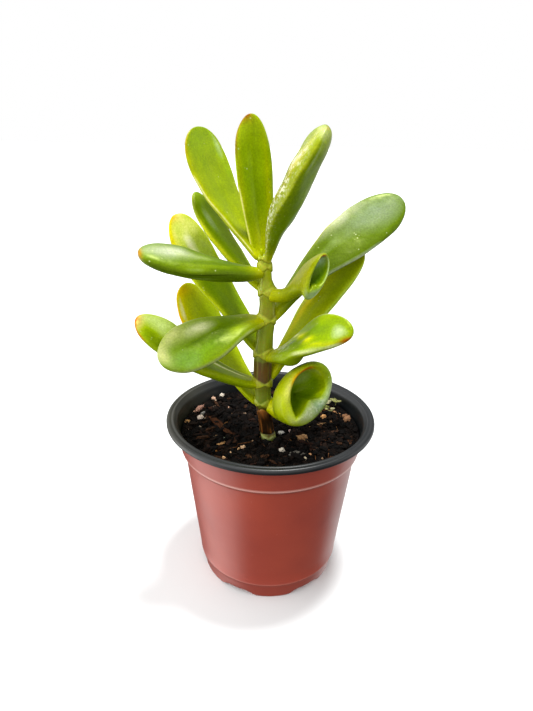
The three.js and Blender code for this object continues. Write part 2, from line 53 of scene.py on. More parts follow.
# ---- Measures --------------------------------------------------------------------------------
SOIL_LEVEL = 75.6
SOIL_BUMP = 1.1
SOIL_RADIUS = 43.1

# Points up the stem's axis with its radius at each.
STEM_AXIS = [
    (-1.0, -8.4, 62.5, 2.6), (-1.0, -8.5, 68, 3.6), (-1.0, -8.6, 74, 3.8), (-1.3, -8.8, 77.5, 3.5),
    (-1.7, -8.9, 79.2, 2.8), (-2.3, -8.9, 85, 2.6), (-3.1, -9, 90.5, 2.9), (-3.5, -9, 94, 4.0),
    (-3.8, -9, 100, 3.7), (-4.0, -9, 104.5, 4.3), (-4.1, -9, 110, 4.1), (-3.8, -9, 118.5, 4.2),
    (-3.3, -9, 127, 3.8), (-2.7, -9, 134.5, 4.0), (-2.4, -9, 141, 3.4), (-2.5, -9, 147.5, 3.8),
    (-3.3, -9, 152.5, 2.6), (-3.9, -9, 157.5, 2.9), (-4.1, -9, 161.5, 2.5), (-4.1, -9, 163, 1.2),
]

# Height of each joint of the stem, the way its pair of leaves points and the height of their clasp.
STEM_JOINTS = [
    (94.0, 160, 2.6), (104.3, 15, 2.6), (118.5, 146, 2.8), (134.3, 28, 2.8), (146.6, 150, 2.6),
    (157.3, 205, 2.2), (161.0, 150, 1.6),
]

# What the blades share unless one has its own. Lengths are in millimetres, and the shares of a
# blade's length say where it is thickest and where its thickness starts to close at the tip.
BLUNT, EDGE, HEEL, GROOVE, UNEVEN = 2.4, 0.85, 0.8, 0.15, 0.35
FOOT_TAPER, FOOT_TAPER_REACH = 0.32, 3.2
THICKEST, TIP_THICKNESS = 0.45, 0.75
CLOSES_FROM, CLOSES_OVER, CLOSES_LIKE = 0.8, 0.2, 2.5
GROOVE_WIDTH = 0.22
LEAF_WANDER, CUP_WANDER = 9, 8
# The blade's upper face leans this much towards the stem.
FACE_LEAN = 0.6
# How far the midrib keeps the direction of its ends, in shares of its length.
BLADE_REACH, STALK_REACH = 0.36, 0.45
# Leaves turn pale where they clasp the stem.
CLASP_TONE, CLASP_REACH, CLASP_STRENGTH = "#b8bc58", 4.5, 0.9

# Blades. foot lies in the stem and tip is the far end; leaves and ends are the midrib's direction
# at each, as azimuth and elevation. widest is the share of the length where the blade is widest,
# neck and heel are the foot's share of the width and thickness, fold is the gutter's angle at the
# neck, the widest place and the tip, and roll the turn about the midrib at the foot and the tip.
# blunt is how square the tip is, edge how sharp the margins are, taper how much the foot draws in,
# groove the depth of the midrib's groove and uneven how far the skin wanders. A bulge of the lower
# face has its share of the length, its reach and its depth. A dent has its share of the length, its
# angle round the section, its reach along and round, and its rise, which is below 0 for a hollow.
# Tones are the foot's, the body's, the tip's and the margin's. A wash is laid round a place on the
# blade: share of the length, angle round the section (0 and 180 are the margins, 90 the middle of
# the upper face, 270 of the lower), reach along and round, then its colour and strength. A line
# runs along the blade at an angle, from one share to another, with its reach round, colour and
# strength. Besides the leaves' own colours, many of the pale washes and lines are painted sheen,
# reflections and highlights, and some dark washes on lower faces and in hollows are painted shade.
# Sparkle marks painted glints, pale chips that stand in for glitter off the skin: share, angle,
# reaches and strength.
BLADES = {
    "leaf_1_back": {
        "foot": (-5.2, -7, 92.5), "tip": (-41.6, 16.6, 143), "leaves": (147, 44), "ends": (147, 66),
        "width": 23, "thick": 5, "widest": 0.66, "neck": 0.48, "fold": (60, 30, 20),
        "roll": (0, -12), "tones": ("#94a80a", "#9cb00a", "#b4bc1c", "#bcc424"),
        # Painted highlight: the near-white stripe near the tip (#f8f0d0).
        "washes": [
            (0.88, 34, 0.16, 28, "#dcd048", 0.85), (0.7, 14, 0.16, 22, "#d0c840", 0.8),
            (0.66, 120, 0.22, 40, "#86a008", 0.75), (0.84, 30, 0.09, 8, "#f8f0d0", 0.95),
            (0.62, 40, 0.02, 7, "#c98a5a", 0.5), (0.96, 50, 0.05, 50, "#d8a83c", 0.6),
        ],
        "lines": [(1, 0.74, 0.99, 9, "#e08850", 0.85)],
    },
    "leaf_2_left": {
        "foot": (-5, -8.5, 103.2), "tip": (-57.3, -20.2, 137), "leaves": (193, 14),
        "ends": (193, 36),
        "width": 20.5, "thick": 6, "widest": 0.68, "neck": 0.46, "fold": (90, 50, 20),
        "roll": (0, -32), "tones": ("#94a41c", "#7e961c", "#90a444", "#a4b060"),
        "washes": [
            (0.84, 118, 0.18, 46, "#b4c488", 0.85), (0.8, 30, 0.2, 35, "#84a01c", 0.6),
            (1.0, 60, 0.022, 100, "#c45c50", 0.95), (0.3, 330, 0.2, 30, "#708a0a", 0.5),
            (0.88, 60, 0.06, 24, "#788e20", 0.6), (0.97, 60, 0.03, 60, "#c4a880", 0.5),
        ],
        "lines": [
            (356, 0.9, 1.0, 12, "#c4604c", 0.85), (100, 0.12, 0.5, 6, "#eef0c8", 0.9),
            (150, 0.1, 0.5, 8, "#d7de8a", 0.7), (126, 0.1, 0.45, 10, "#5c780a", 0.7),
        ],
    },
    "leaf_2_right": {
        "foot": (-2, -8, 104.6), "tip": (40.2, 11, 160.8), "leaves": (24, 58), "ends": (24, 42),
        "width": 16.5, "thick": 5.5, "widest": 0.68, "neck": 0.42, "fold": (60, 30, 20),
        "roll": (10, 25), "tones": ("#b8c00a", "#a4b00c", "#8c9c0e", "#a4b020"),
        "washes": [
            (0.5, 58, 0.2, 16, "#dccc34", 0.9), (0.75, 130, 0.2, 34, "#748c04", 0.75),
            (0.4, 14, 0.25, 22, "#bcc800", 0.85), (0.42, 108, 0.2, 22, "#889c04", 0.6),
            (0.56, 66, 0.05, 6, "#e6dc70", 0.7),
        ],
        "lines": [(4, 0.1, 0.7, 12, "#d8e048", 0.85), (176, 0.2, 0.95, 14, "#b4c880", 0.85)],
    },
    "leaf_3_spoon": {
        "foot": (-2, -11, 117.4), "tip": (31.0, -34.4, 136.6), "leaves": (-35, 20),
        "ends": (-35, -8),
        "width": 20.4, "thick": 6.6, "widest": 0.52, "neck": 0.42, "heel": 0.9, "blunt": 1.75,
        "fold": (40, 85, 50), "roll": (10, 52), "bulge": (0.27, 0.09, 3.0),
        "dents": [
            (0.39, 56, 0.07, 12, 1.0), (0.46, 78, 0.07, 14, 1.2), (0.56, 112, 0.07, 14, 1.2),
            (0.66, 148, 0.08, 14, 1.0), (0.62, 76, 0.11, 20, -1.3), (0.38, 104, 0.07, 20, -1.0),
        ],
        "tones": ("#808a18", "#74900c", "#7e942c", "#98a85c"),
        # Painted highlights run along the crest (#eceab8, #dcd878, #c8c868, #b8bc58); painted shade
        # darkens the hollow above it (#628402), the groove below it (#5a760a, #6c8614) and the
        # lower face (#46600a).
        "washes": [
            (0.62, 76, 0.13, 22, "#628402", 0.85), (0.74, 56, 0.12, 24, "#7c9630", 0.7),
            (0.38, 54, 0.05, 9, "#eceab8", 0.9), (0.46, 78, 0.055, 11, "#dcd878", 0.9),
            (0.56, 112, 0.06, 13, "#c8c868", 0.85), (0.66, 148, 0.08, 13, "#b8bc58", 0.85),
            (0.8, 156, 0.1, 12, "#a8ac38", 0.8), (0.37, 102, 0.08, 24, "#5a760a", 0.85),
            (0.47, 130, 0.05, 16, "#6c8614", 0.7), (0.88, 96, 0.07, 30, "#b0c098", 0.9),
            (0.74, 40, 0.1, 20, "#8ea054", 0.7),
            (0.5, 320, 0.4, 40, "#46600a", 0.85), (0.97, 166, 0.05, 30, "#a4452a", 0.95),
            (0.2, 300, 0.2, 60, "#66760c", 0.7), (0.16, 100, 0.08, 40, "#c9cc70", 0.6),
            (0.26, 60, 0.06, 24, "#c4cc80", 0.5),
        ],
        "lines": [(178, 0.42, 0.94, 10, "#c8d0a0", 0.85), (2, 0.3, 0.96, 8, "#c0ca98", 0.85)],
        "sparkle": [(0.24, 100, 0.1, 50, 0.5)],
    },
    "leaf_3_back": {
        "foot": (-4.9, -7, 118.5), "tip": (-44, 17.6, 175.4), "leaves": (146, 50),
        "ends": (146, 66),
        "width": 19.5, "thick": 5, "widest": 0.7, "neck": 0.6, "fold": (60, 30, 20),
        "roll": (0, -25), "tones": ("#84a004", "#708e04", "#c4cc68", "#b5be44"),
        "washes": [
            (0.9, 90, 0.16, 60, "#d0d48c", 0.85), (0.82, 14, 0.16, 20, "#d8c440", 0.85),
            (0.72, 120, 0.14, 40, "#b4c478", 0.8), (0.4, 60, 0.16, 60, "#789400", 0.6),
            (0.98, 30, 0.03, 50, "#d0a860", 0.7),
        ],
        # Painted sheen: the near-white and pale streaks along the blade (#f0f0d0, #e6de9c,
        # #dae1a8).
        "lines": [
            (84, 0.62, 0.86, 9, "#f0f0d0", 0.85), (0, 0.15, 0.6, 10, "#bfcb46", 0.7),
            (40, 0.7, 0.9, 7, "#e6de9c", 0.7), (170, 0.55, 0.9, 8, "#dae1a8", 0.6),
        ],
    },
    "leaf_4_left": {
        "foot": (-4.6, -10.3, 134.6), "tip": (-44.8, -36.2, 124.2), "leaves": (213, -3),
        "ends": (212, -18),
        "width": 22.5, "thick": 7, "widest": 0.6, "neck": 0.46, "fold": (60, 30, 20),
        "roll": (-15, -45), "dents": [(0.55, 62, 0.16, 10, 0.3), (0.6, 104, 0.2, 10, -0.3),
                  (0.62, 132, 0.16, 10, 0.25)],
        "tones": ("#8c9430", "#5c7818", "#6c8640", "#84944c"),
        # Painted sheen and reflections: the pale washes #c4c890 and #d8dcb4, the lime wash #8ea428
        # and the pale margin lines; painted shade: the dark wash on the lower face (#5a7010).
        "washes": [
            (0.96, 110, 0.05, 60, "#c8cc94", 0.9), (0.8, 140, 0.14, 26, "#c4c890", 0.9),
            (0.57, 118, 0.13, 17, "#d8dcb4", 0.9), (0.8, 55, 0.14, 34, "#7a9660", 0.8),
            (0.55, 64, 0.16, 16, "#6c8a48", 0.8), (0.42, 74, 0.15, 26, "#3e5810", 0.85),
            (0.66, 92, 0.1, 7, "#44620c", 0.85), (0.5, 86, 0.1, 6, "#4c6a10", 0.7),
            (0.28, 110, 0.16, 40, "#587214", 0.6), (0.3, 60, 0.08, 18, "#8ea428", 0.7),
            (0.5, 320, 0.4, 30, "#5a7010", 0.7),
            (0.48, 150, 0.14, 14, "#88984c", 0.7),
        ],
        "lines": [(2, 0.15, 0.98, 8, "#b8c290", 0.8), (178, 0.25, 0.95, 12, "#b0b878", 0.85)],
    },
    "leaf_4_right": {
        "foot": (-1.5, -8, 133), "tip": (57.2, 16.5, 183), "leaves": (22, 52), "ends": (22, 28),
        "width": 22.6, "thick": 6, "widest": 0.66, "neck": 0.3, "fold": (60, 20, 10),
        "roll": (10, 50),
        "blunt": 2.7, "dents": [(0.5, 84, 0.14, 12, 0.35), (0.5, 52, 0.14, 12, -0.3)],
        "tones": ("#747f18", "#526a10", "#6c8048", "#64782e"),
        # Painted sheen and highlight: the pale wash over the upper half (#8c9c80) and the
        # near-white one at the upper margin (#d8dac0); painted reflection: the pale line on the
        # lower margin (#c0ccb0); painted shade: the dark washes low on the blade (#4c660a,
        # #4a6206).
        "washes": [
            (0.8, 78, 0.2, 46, "#8c9c80", 0.9), (0.66, 26, 0.12, 24, "#d8dac0", 0.85),
            (0.86, 160, 0.2, 26, "#4c660a", 0.9), (0.45, 135, 0.2, 38, "#4a6206", 0.85),
            (0.5, 84, 0.12, 8, "#90a270", 0.8), (0.3, 60, 0.12, 40, "#6e8020", 0.6),
            (0.64, 120, 0.16, 26, "#587020", 0.6),
        ],
        "lines": [(178, 0.25, 0.74, 10, "#c0ccb0", 0.85), (6, 0.1, 0.62, 14, "#b8b848", 0.75)],
    },
    "leaf_5_back": {
        "foot": (-5, -7, 147), "tip": (-35.2, 15.5, 184.7), "leaves": (142, 40), "ends": (142, 58),
        "width": 14, "thick": 5, "widest": 0.66, "neck": 0.45, "fold": (60, 30, 20), "roll": (0, 0),
        "tones": ("#98aa10", "#7c980a", "#7a9430", "#a0ac28"),
        # Painted sheen: the pale sage wash (#b8c89c).
        "washes": [
            (0.72, 70, 0.14, 18, "#b8c89c", 0.85), (0.45, 120, 0.3, 30, "#6e8c02", 0.6),
            (0.9, 14, 0.1, 20, "#5c6a18", 0.7), (0.45, 150, 0.2, 20, "#a8b830", 0.6),
        ],
        "lines": [(2, 0.3, 0.75, 12, "#c4c838", 0.8)],
    },
    "leaf_6_left": {
        "foot": (-4.6, -9.8, 155.2), "tip": (-51.5, -31, 166.4), "leaves": (205, 3),
        "ends": (205, 12), "width": 17.6, "thick": 8.4, "widest": 0.66, "neck": 0.42, "heel": 0.7,
        "fold": (60, 30, 20),
        "roll": (-10, -28), "dents": [(0.5, 40, 0.2, 9, 0.3), (0.45, 8, 0.2, 9, -0.25)],
        "tones": ("#74841a", "#566e14", "#6e8642", "#5e7422"),
        # Painted sheen: the pale sage washes on the upper face (#aab496, #98a674, #ccd2bc); painted
        # highlight: the narrow pale wash low on the blade (#8a9c68); painted shade: the dark washes
        # on the lower face (#40580a, #607c20).
        "washes": [
            (0.8, 96, 0.18, 34, "#aab496", 0.9), (0.55, 88, 0.16, 12, "#98a674", 0.8),
            (0.5, 345, 0.45, 34, "#40580a", 0.8), (0.3, 100, 0.14, 40, "#4a660c", 0.75),
            (0.75, 335, 0.2, 20, "#607c20", 0.6), (0.74, 100, 0.08, 16, "#ccd2bc", 0.6),
            (1.0, 60, 0.02, 120, "#b8783c", 0.8), (0.62, 20, 0.1, 10, "#8ca060", 0.75),
            (0.56, 336, 0.14, 7, "#8a9c68", 0.7),
        ],
        "lines": [(40, 0.3, 0.72, 6, "#8e9e5e", 0.75), (320, 0.35, 0.75, 7, "#6c823c", 0.6)],
    },
    "leaf_6_right": {
        "foot": (-4.2, -7, 159.5), "tip": (-10, -6, 216), "leaves": (110, 66), "ends": (100, 88),
        "width": 17.6, "thick": 4.5, "widest": 0.62, "neck": 0.66, "fold": (90, 60, 20),
        "roll": (0, 0), "groove": 0.5, "taper": 0.3, "blunt": 2.1,
        "tones": ("#b8c000", "#92ae00", "#94ac0c", "#a4b40c"),
        "washes": [
            (0.5, 136, 0.35, 13, "#bcc200", 0.8), (0.6, 94, 0.3, 8, "#789204", 0.75),
            (1.0, 30, 0.045, 60, "#8c2a20", 0.95), (0.16, 110, 0.18, 90, "#acb600", 0.7),
            (0.6, 20, 0.3, 16, "#a8b400", 0.6),
        ],
        "lines": [(4, 0.76, 1.0, 9, "#94402c", 0.8), (0, 0.04, 0.56, 8, "#f2eeb0", 0.95)],
    },
    "leaf_7_front": {
        "foot": (-2.6, -10.2, 160.2), "tip": (17.6, -24.5, 211.5), "leaves": (-44, 82),
        "ends": (-35, 57),
        "width": 27, "thick": 11.5, "widest": 0.6, "neck": 0.22, "heel": 0.36, "fold": (60, 30, 20),
        "roll": (30, 38), "uneven": 1.0, "blunt": 2.6, "edge": 1.3,
        "dents": [(0.72, 112, 0.05, 14, 0.8), (0.3, 226, 0.12, 12, -0.5)],
        "tones": ("#7f8418", "#78920c", "#869830", "#808c34"),
        # Painted highlights: the cream washes near the tip (#d8d0a0, #c4cca0); painted reflections:
        # the pale marks on the lower side (#d2dcc8, #98a890); the sparkle is painted glints.
        "washes": [
            (0.6, 118, 0.4, 34, "#8e8838", 0.95), (0.5, 222, 0.5, 26, "#5c7c00", 0.9),
            (0.6, 168, 0.4, 12, "#88902a", 0.8), (0.34, 250, 0.24, 10, "#98a890", 0.8),
            (0.82, 200, 0.1, 6, "#d2dcc8", 0.9), (0.6, 200, 0.4, 14, "#728c04", 0.8),
            (1.0, 200, 0.006, 40, "#b05058", 0.8), (0.98, 150, 0.03, 120, "#c4cca0", 0.7),
            (0.76, 112, 0.09, 20, "#d8d0a0", 0.8), (0.9, 120, 0.06, 26, "#a4ac58", 0.8),
            (0.3, 150, 0.2, 30, "#80881a", 0.7),
        ],
        "lines": [(174, 0.12, 0.85, 5, "#8c9440", 0.6)],
        "sparkle": [(0.6, 112, 0.26, 34, 1.0), (0.24, 128, 0.22, 44, 0.7)],
    },
    "leaf_7_back": {
        "foot": (-5.4, -7.6, 160.5), "tip": (-32, 11.4, 211.4), "leaves": (152, 48),
        "ends": (143, 80),
        "width": 27.5, "thick": 4.5, "widest": 0.72, "neck": 0.3, "fold": (70, 25, 15),
        "roll": (0, 0), "blunt": 2.8, "taper": 0.1,
        "tones": ("#acb400", "#869c00", "#829c0c", "#aaae1c"),
        # Painted sheen: the pale sage washes near the tip (#c4d8a4, #a8c468, #a3be66).
        "washes": [
            (0.22, 90, 0.2, 90, "#a4b400", 0.8), (0.88, 134, 0.09, 14, "#c4d8a4", 0.9),
            (0.7, 140, 0.06, 8, "#a8c468", 0.7), (0.7, 162, 0.14, 12, "#a3be66", 0.6),
            (0.92, 60, 0.1, 60, "#8cab2c", 0.5),
        ],
        "lines": [(4, 0.8, 0.97, 7, "#b86a38", 0.6), (0, 0.06, 0.66, 8, "#f0eeb4", 0.9)],
    },
}

# Leaves whose margins have grown together into a cup on a short stalk. mouth is the middle of the
# cup's mouth and faces the way that it opens, length and width are its size over the lip, turn the
# lean of its long axis, depth the bowl's depth and lip the height of its rolled edge. stalk is the
# stalk's radius, and swell the share of it where it starts to widen and how late it does so.
# opening is the bowl's reach in shares of the mouth's at angles round it, from the top of the long
# axis towards the plant's left. A wash on a cup is laid by its share of the way up the stalk (to
# LIP_FROM), over the lip (to BOWL_FROM) and down the bowl. Tones are the foot's, the outside's, the
# bowl's and the lip's.
LIP_FROM, BOWL_FROM = 0.5, 0.72
CUPS = {
    "leaf_1_cup": {
        "foot": (-1.5, -11, 93.8), "mouth": (14.6, -26, 107.2), "leaves": (-5, -20),
        "faces": (-60, 23),
        "length": 31, "width": 21.4, "turn": -50, "depth": 10, "lip": 3.2, "stalk": 3,
        "swell": (0, 0.55),
        "opening": [
            (0, 0.66), (15, 0.7), (45, 0.76), (75, 0.78), (105, 0.72), (135, 0.66), (160, 0.64),
            (180, 0.68), (194, 0.76), (203, 0.5), (218, 0.3), (242, 0.24), (266, 0.34), (290, 0.54),
            (315, 0.66), (340, 0.66),
        ],
        "tones": ("#8f9a14", "#8c9c30", "#5f7c10", "#8c9c34"),
        # Painted shade: the dark wash deep in the bowl (#3c5400); painted sheen and glints: the
        # pale wash on the lip (#c8c884) and the sparkle.
        "washes": [
            (0.57, 104, 0.1, 44, "#c8c884", 0.9), (0.58, 84, 0.06, 14, "#c4b058", 0.75),
            (0.42, 110, 0.1, 50, "#a0ac44", 0.7), (0.52, 20, 0.09, 40, "#586e0c", 0.85),
            (0.6, 350, 0.08, 26, "#546a10", 0.8),
            (0.6, 310, 0.08, 24, "#849474", 0.8), (0.6, 262, 0.1, 34, "#889e84", 0.95),
            (0.6, 220, 0.08, 24, "#a4b090", 0.8), (0.56, 182, 0.06, 20, "#b4be78", 0.7),
            (0.82, 40, 0.07, 60, "#94a46c", 0.9), (0.8, 110, 0.05, 40, "#88984c", 0.7),
            (0.95, 200, 0.08, 120, "#3c5400", 0.7), (0.78, 250, 0.05, 40, "#5c7614", 0.6),
        ],
        "lines": [
            (86, 0.58, 0.71, 14, "#d89c3c", 0.8), (68, 0.62, 0.72, 14, "#cc603c", 0.95),
            (50, 0.64, 0.73, 14, "#b8443c", 0.95), (20, 0.7, 0.73, 40, "#b4c080", 0.6),
            (120, 0.7, 0.73, 50, "#c4cc90", 0.7),
        ],
        "sparkle": [(0.6, 250, 0.06, 40, 0.35)],
    },
    "leaf_5_scoop": {
        "foot": (-1, -10.5, 146), "mouth": (16.8, -20, 156.3), "leaves": (-20, -14),
        "faces": (-55, 15),
        "length": 21.2, "width": 9, "turn": -38, "depth": 3.8, "lip": 1.8, "stalk": 3,
        "swell": (0.34, 1.0),
        "opening": [
            (0, 0.86), (30, 0.84), (60, 0.66), (90, 0.54), (125, 0.5), (150, 0.58), (164, 0.66),
            (180, 0.42), (218, 0.4), (250, 0.6), (272, 0.74), (300, 0.86), (335, 0.88),
        ],
        "tones": ("#8a9418", "#7d8c12", "#587618", "#7c9030"),
        # Painted highlight: the pale yellow wash on the stalk (#a4a020); painted sheen: the pale
        # mint wash at the bowl's top (#b6ccae); painted shade: the dark washes in the bowl
        # (#4c7016, #3a5408).
        "washes": [
            (0.34, 60, 0.16, 60, "#a4a020", 0.8), (0.5, 110, 0.08, 40, "#8e8c24", 0.7),
            (0.8, 20, 0.07, 50, "#b6ccae", 0.9), (0.86, 300, 0.1, 60, "#4c7016", 0.8),
            (0.92, 190, 0.12, 90, "#3a5408", 0.85), (0.56, 205, 0.07, 40, "#8ea484", 0.85),
            (0.4, 260, 0.15, 50, "#64801e", 0.6),
        ],
        "lines": [
            (26, 0.6, 0.72, 20, "#a83a30", 0.95), (310, 0.62, 0.7, 50, "#c3d4a8", 0.8),
            (200, 0.5, 0.56, 60, "#a9bc98", 0.7),
        ],
    },
}

# The next pair of leaves, still pressed together: foot, tip, azimuth, width and thickness.
BUD_LEAVES = [
    ((-3.7, -9.2, 161.0), (-3.2, -9.0, 165.0), 25, 2.8, 1.6),
    ((-4.9, -9.7, 161.0), (-5.3, -9.9, 165.2), 205, 2.8, 1.6),
]

# What lies on the soil where the eye can pick it out: place, size and colour.
GRIT = [
    (-30.6, 28.2, 1.6, "#c9a48c"), (-26.4, 31.6, 1.5, "#ddd0c0"), (-41.2, 2.7, 1.4, "#b78a5c"),
    (-34.4, 12.2, 1.5, "#8f8c86"), (-35.0, 5.2, 1.7, "#d6c3b4"), (-21.6, 18.1, 1.0, "#c79c84"),
    (-25.1, 13.5, 0.8, "#b5a08c"), (-19.1, 8.6, 0.9, "#a88c7c"), (-24.5, -23.6, 0.9, "#b8793c"),
    (-17.5, -25.2, 1.3, "#e0b488"), (-14.4, -21.4, 0.7, "#d5a878"), (-12.5, -19.9, 1.2, "#e4bc94"),
    (-14.2, -18.5, 0.7, "#d6b48c"), (0.9, -19.0, 0.8, "#cf9560"), (5.1, -21.8, 1.6, "#e8dcc8"),
    (9.1, -14.0, 1.1, "#c68e58"), (5.3, -6.3, 1.4, "#d8d4cc"), (9.5, -4.1, 1.1, "#c7a6a0"),
    (15.9, -27.7, 1.2, "#d9c8a8"), (17.9, -25.3, 0.7, "#e0a878"), (17.0, -30.6, 0.7, "#a8743c"),
    (6.1, -28.0, 0.6, "#d0c8bc"), (27.2, 9.4, 1.6, "#d29c64"), (14.7, -12.4, 2.4, "#a07850"),
    (16.0, -10.4, 1.7, "#b08a62"), (16.6, -15.0, 1.2, "#8c6a48"), (-39.2, 14.0, 1.2, "#a8826c"),
    (38.8, 7.4, 2.2, "#a97c5a"), (38.2, 10.8, 1.9, "#8c6446"), (-20.5, -29.0, 0.8, "#dcae80"),
]

# Bark chips, flakes and twigs that can be picked out: place, length, width, thickness, azimuth.
BARK = [
    (-23.0, -11.0, 4.2, 2.0, 0.6, 15, "#cfd6c4"), (-22.7, -17.9, 3.6, 2.2, 0.8, 40, "#b08456"),
    (11.9, -24.2, 7.6, 4.0, 1.0, 8, "#6f6a62"), (23.2, 1.5, 8.5, 0.9, 0.8, 28, "#b58c62"),
    (34.4, 15.2, 6.5, 0.9, 0.8, -40, "#b8895f"), (-36.6, 15.4, 6.5, 2.4, 2.0, 65, "#a67c6c"),
    (-25.8, 1.4, 19.5, 3.6, 0.8, -58, "#4a2a16"), (-27.6, 3.9, 9.0, 2.0, 1.4, -66, "#6a3c1e"),
    (29.0, -6.0, 7.0, 2.0, 1.0, 20, "#5c4030"), (21.0, -21.0, 5.5, 2.4, 1.0, -35, "#4c3426"),
    (26.0, 16.0, 7.5, 1.1, 0.9, 18, "#9a7a55"), (31.0, 6.0, 6.0, 1.4, 0.8, 35, "#7d5a3c"),
]
CRUMB_COUNT = 2800
CRUMB_TONES = ["#080605", "#0e0907", "#140d09", "#060504", "#1c120c"]
STRAY_GRIT = 60
GRIT_TONES = ["#a88c74", "#7c6450", "#98785a", "#5f5248", "#b49e88"]
STRAY_BARK = 320
BARK_TONES = ["#150d09", "#1d120b", "#0e0907", "#2a1810", "#3a2415", "#0a0706"]
STRAY_FIBRES = 46
FIBRE_TONES = ["#4a2c18", "#6a4426", "#2c1a10", "#8a6038"]
# Weed seedlings at the back right: place and height.
SEEDLINGS = [(30.0, 25.6, 2.6), (34.6, 21.6, 4.2), (30.6, 17.6, 1.8)]
LEAFLET_TONES = ["#7a7c44", "#8c8c58", "#686c36", "#9c9874"]

# The dried sheath round the stem's foot: its foot, its torn top and the side where it peels off.
SHEATH_FOOT = 78.6
SHEATH_TOP = 90.6
SHEATH_PEEL = 262


# ---- Small helpers ---------------------------------------------------------------------------
def linear(hex_colour):
    """An sRGB hex colour as linear RGBA."""
    channels = [int(hex_colour[k:k + 2], 16) / 255 for k in (1, 3, 5)]
    lit = [c / 12.92 if c <= 0.04045 else ((c + 0.055) / 1.055) ** 2.4 for c in channels]
    return (*lit, 1)


def ease(x):
    x = min(1, max(0, x))
    return x * x * (3 - 2 * x)


def blend(a, b, x):
    return a + (b - a) * x


def mixed(a, b, x):
    return tuple(blend(p, q, x) for p, q in zip(a, b))


def bell(x, reach):
    return math.exp(-((x / reach) ** 2))


def angle_apart(a, b):
    return abs((a - b + 180) % 360 - 180)


def direction(azimuth, elevation):
    a, e = math.radians(azimuth), math.radians(elevation)
    return Vector((math.cos(e) * math.cos(a), math.cos(e) * math.sin(a), math.sin(e)))


def deselect():
    bpy.ops.object.select_all(action="DESELECT")


def only(piece):
    deselect()
    piece.select_set(True)
    bpy.context.view_layer.objects.active = piece


def joined(pieces):
    """The pieces as one, in the first one's object."""
    deselect()
    for piece in pieces:
        piece.select_set(True)
    bpy.context.view_layer.objects.active = pieces[0]
    bpy.ops.object.join()
    return pieces[0]


def apply_modifier(piece, kind, **settings):
    only(piece)
    bpy.ops.object.modifier_add(type=kind)
    modifier = piece.modifiers[-1]
    for name, value in settings.items():
        setattr(modifier, name, value)
    bpy.ops.object.modifier_apply(modifier=modifier.name)


def close_up(piece):
    """Merges a piece's doubled points and turns its faces outwards."""
    only(piece)
    bpy.ops.object.mode_set(mode="EDIT")
    bpy.ops.mesh.select_all(action="SELECT")
    bpy.ops.mesh.remove_doubles(threshold=SAME_POINT * MM)
    bpy.ops.mesh.normals_make_consistent(inside=False)
    bpy.ops.object.mode_set(mode="OBJECT")


def dress(piece, material, slot, *nodes):
    """Gives a finished piece its material, hangs it on the root and hides the CAD nodes that it
    stands for. The slot is not used.
    """
    piece.data.materials.clear()
    piece.data.materials.append(material)
    place_in_frame(piece, slot, *nodes)


def place_in_frame(piece, slot, *nodes):
    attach(piece, "root")
    if nodes:
        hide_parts(*nodes)


def grown_skin(name, rows, sides, grow):
    """A grid grown into a skin. grow(t, v), with t from 0 to 1 along it and v the angle round it in
    degrees, gives a point in millimetres, its place on the skin and its tone."""
    deselect()
    bpy.ops.mesh.primitive_grid_add(x_subdivisions=rows, y_subdivisions=sides, size=2)
    skin = bpy.context.object
    skin.name = skin.data.name = name
    skin.data.attributes.new("place", "FLOAT_VECTOR", "POINT")
    skin.data.attributes.new("tone", "FLOAT_COLOR", "POINT")
    places = skin.data.attributes["place"].data
    tones = skin.data.attributes["tone"].data
    for vertex in skin.data.vertices:
        t = (vertex.co.x + 1) / 2
        point, place, tone = grow(t, (vertex.co.y + 1) * 180)
        vertex.co = point * MM
        places[vertex.index].vector = place
        tones[vertex.index].color = tone
    close_up(skin)
    bpy.ops.object.shade_smooth()
    return skin


def midrib(foot, tip, leaves, ends, reach):
    """A smooth curve that leaves and ends in the given directions, as a function of its share."""
    a, d = Vector(foot), Vector(tip)
    chord = (d - a).length
    b = a + direction(*leaves) * chord * reach
    c = d - direction(*ends) * chord * reach

    def at(u):
        w = 1 - u
        point = a * w ** 3 + b * 3 * w * w * u + c * 3 * w * u * u + d * u ** 3
        along = (b - a) * w * w + (c - b) * 2 * w * u + (d - c) * u * u
        return point, along.normalized()

    return at, chord


def wash_over(tone, leaf, u, v):
    """Lays a leaf's washes and lines over its tone, painted sheen, highlights and shade among them.
    The sparkle, which marks painted glints, goes in as the tone's alpha.
    """
    for at, round_to, reach, spread, colour, strength in leaf.get("washes", []):
        amount = bell(u - at, reach) * bell(angle_apart(v, round_to), spread)
        tone = mixed(tone, linear(colour), amount * strength)
    for round_to, start, end, spread, colour, strength in leaf.get("lines", []):
        amount = ease((u - start) / 0.08 + 0.5) * ease((end - u) / 0.08 + 0.5)
        amount *= bell(angle_apart(v, round_to), spread)
        tone = mixed(tone, linear(colour), amount * strength)
    glints = sum(bell(u - at, reach) * bell(angle_apart(v, round_to), spread) * strength
                 for at, round_to, reach, spread, strength in leaf.get("sparkle", []))
    return (*tone[:3], min(1, glints))


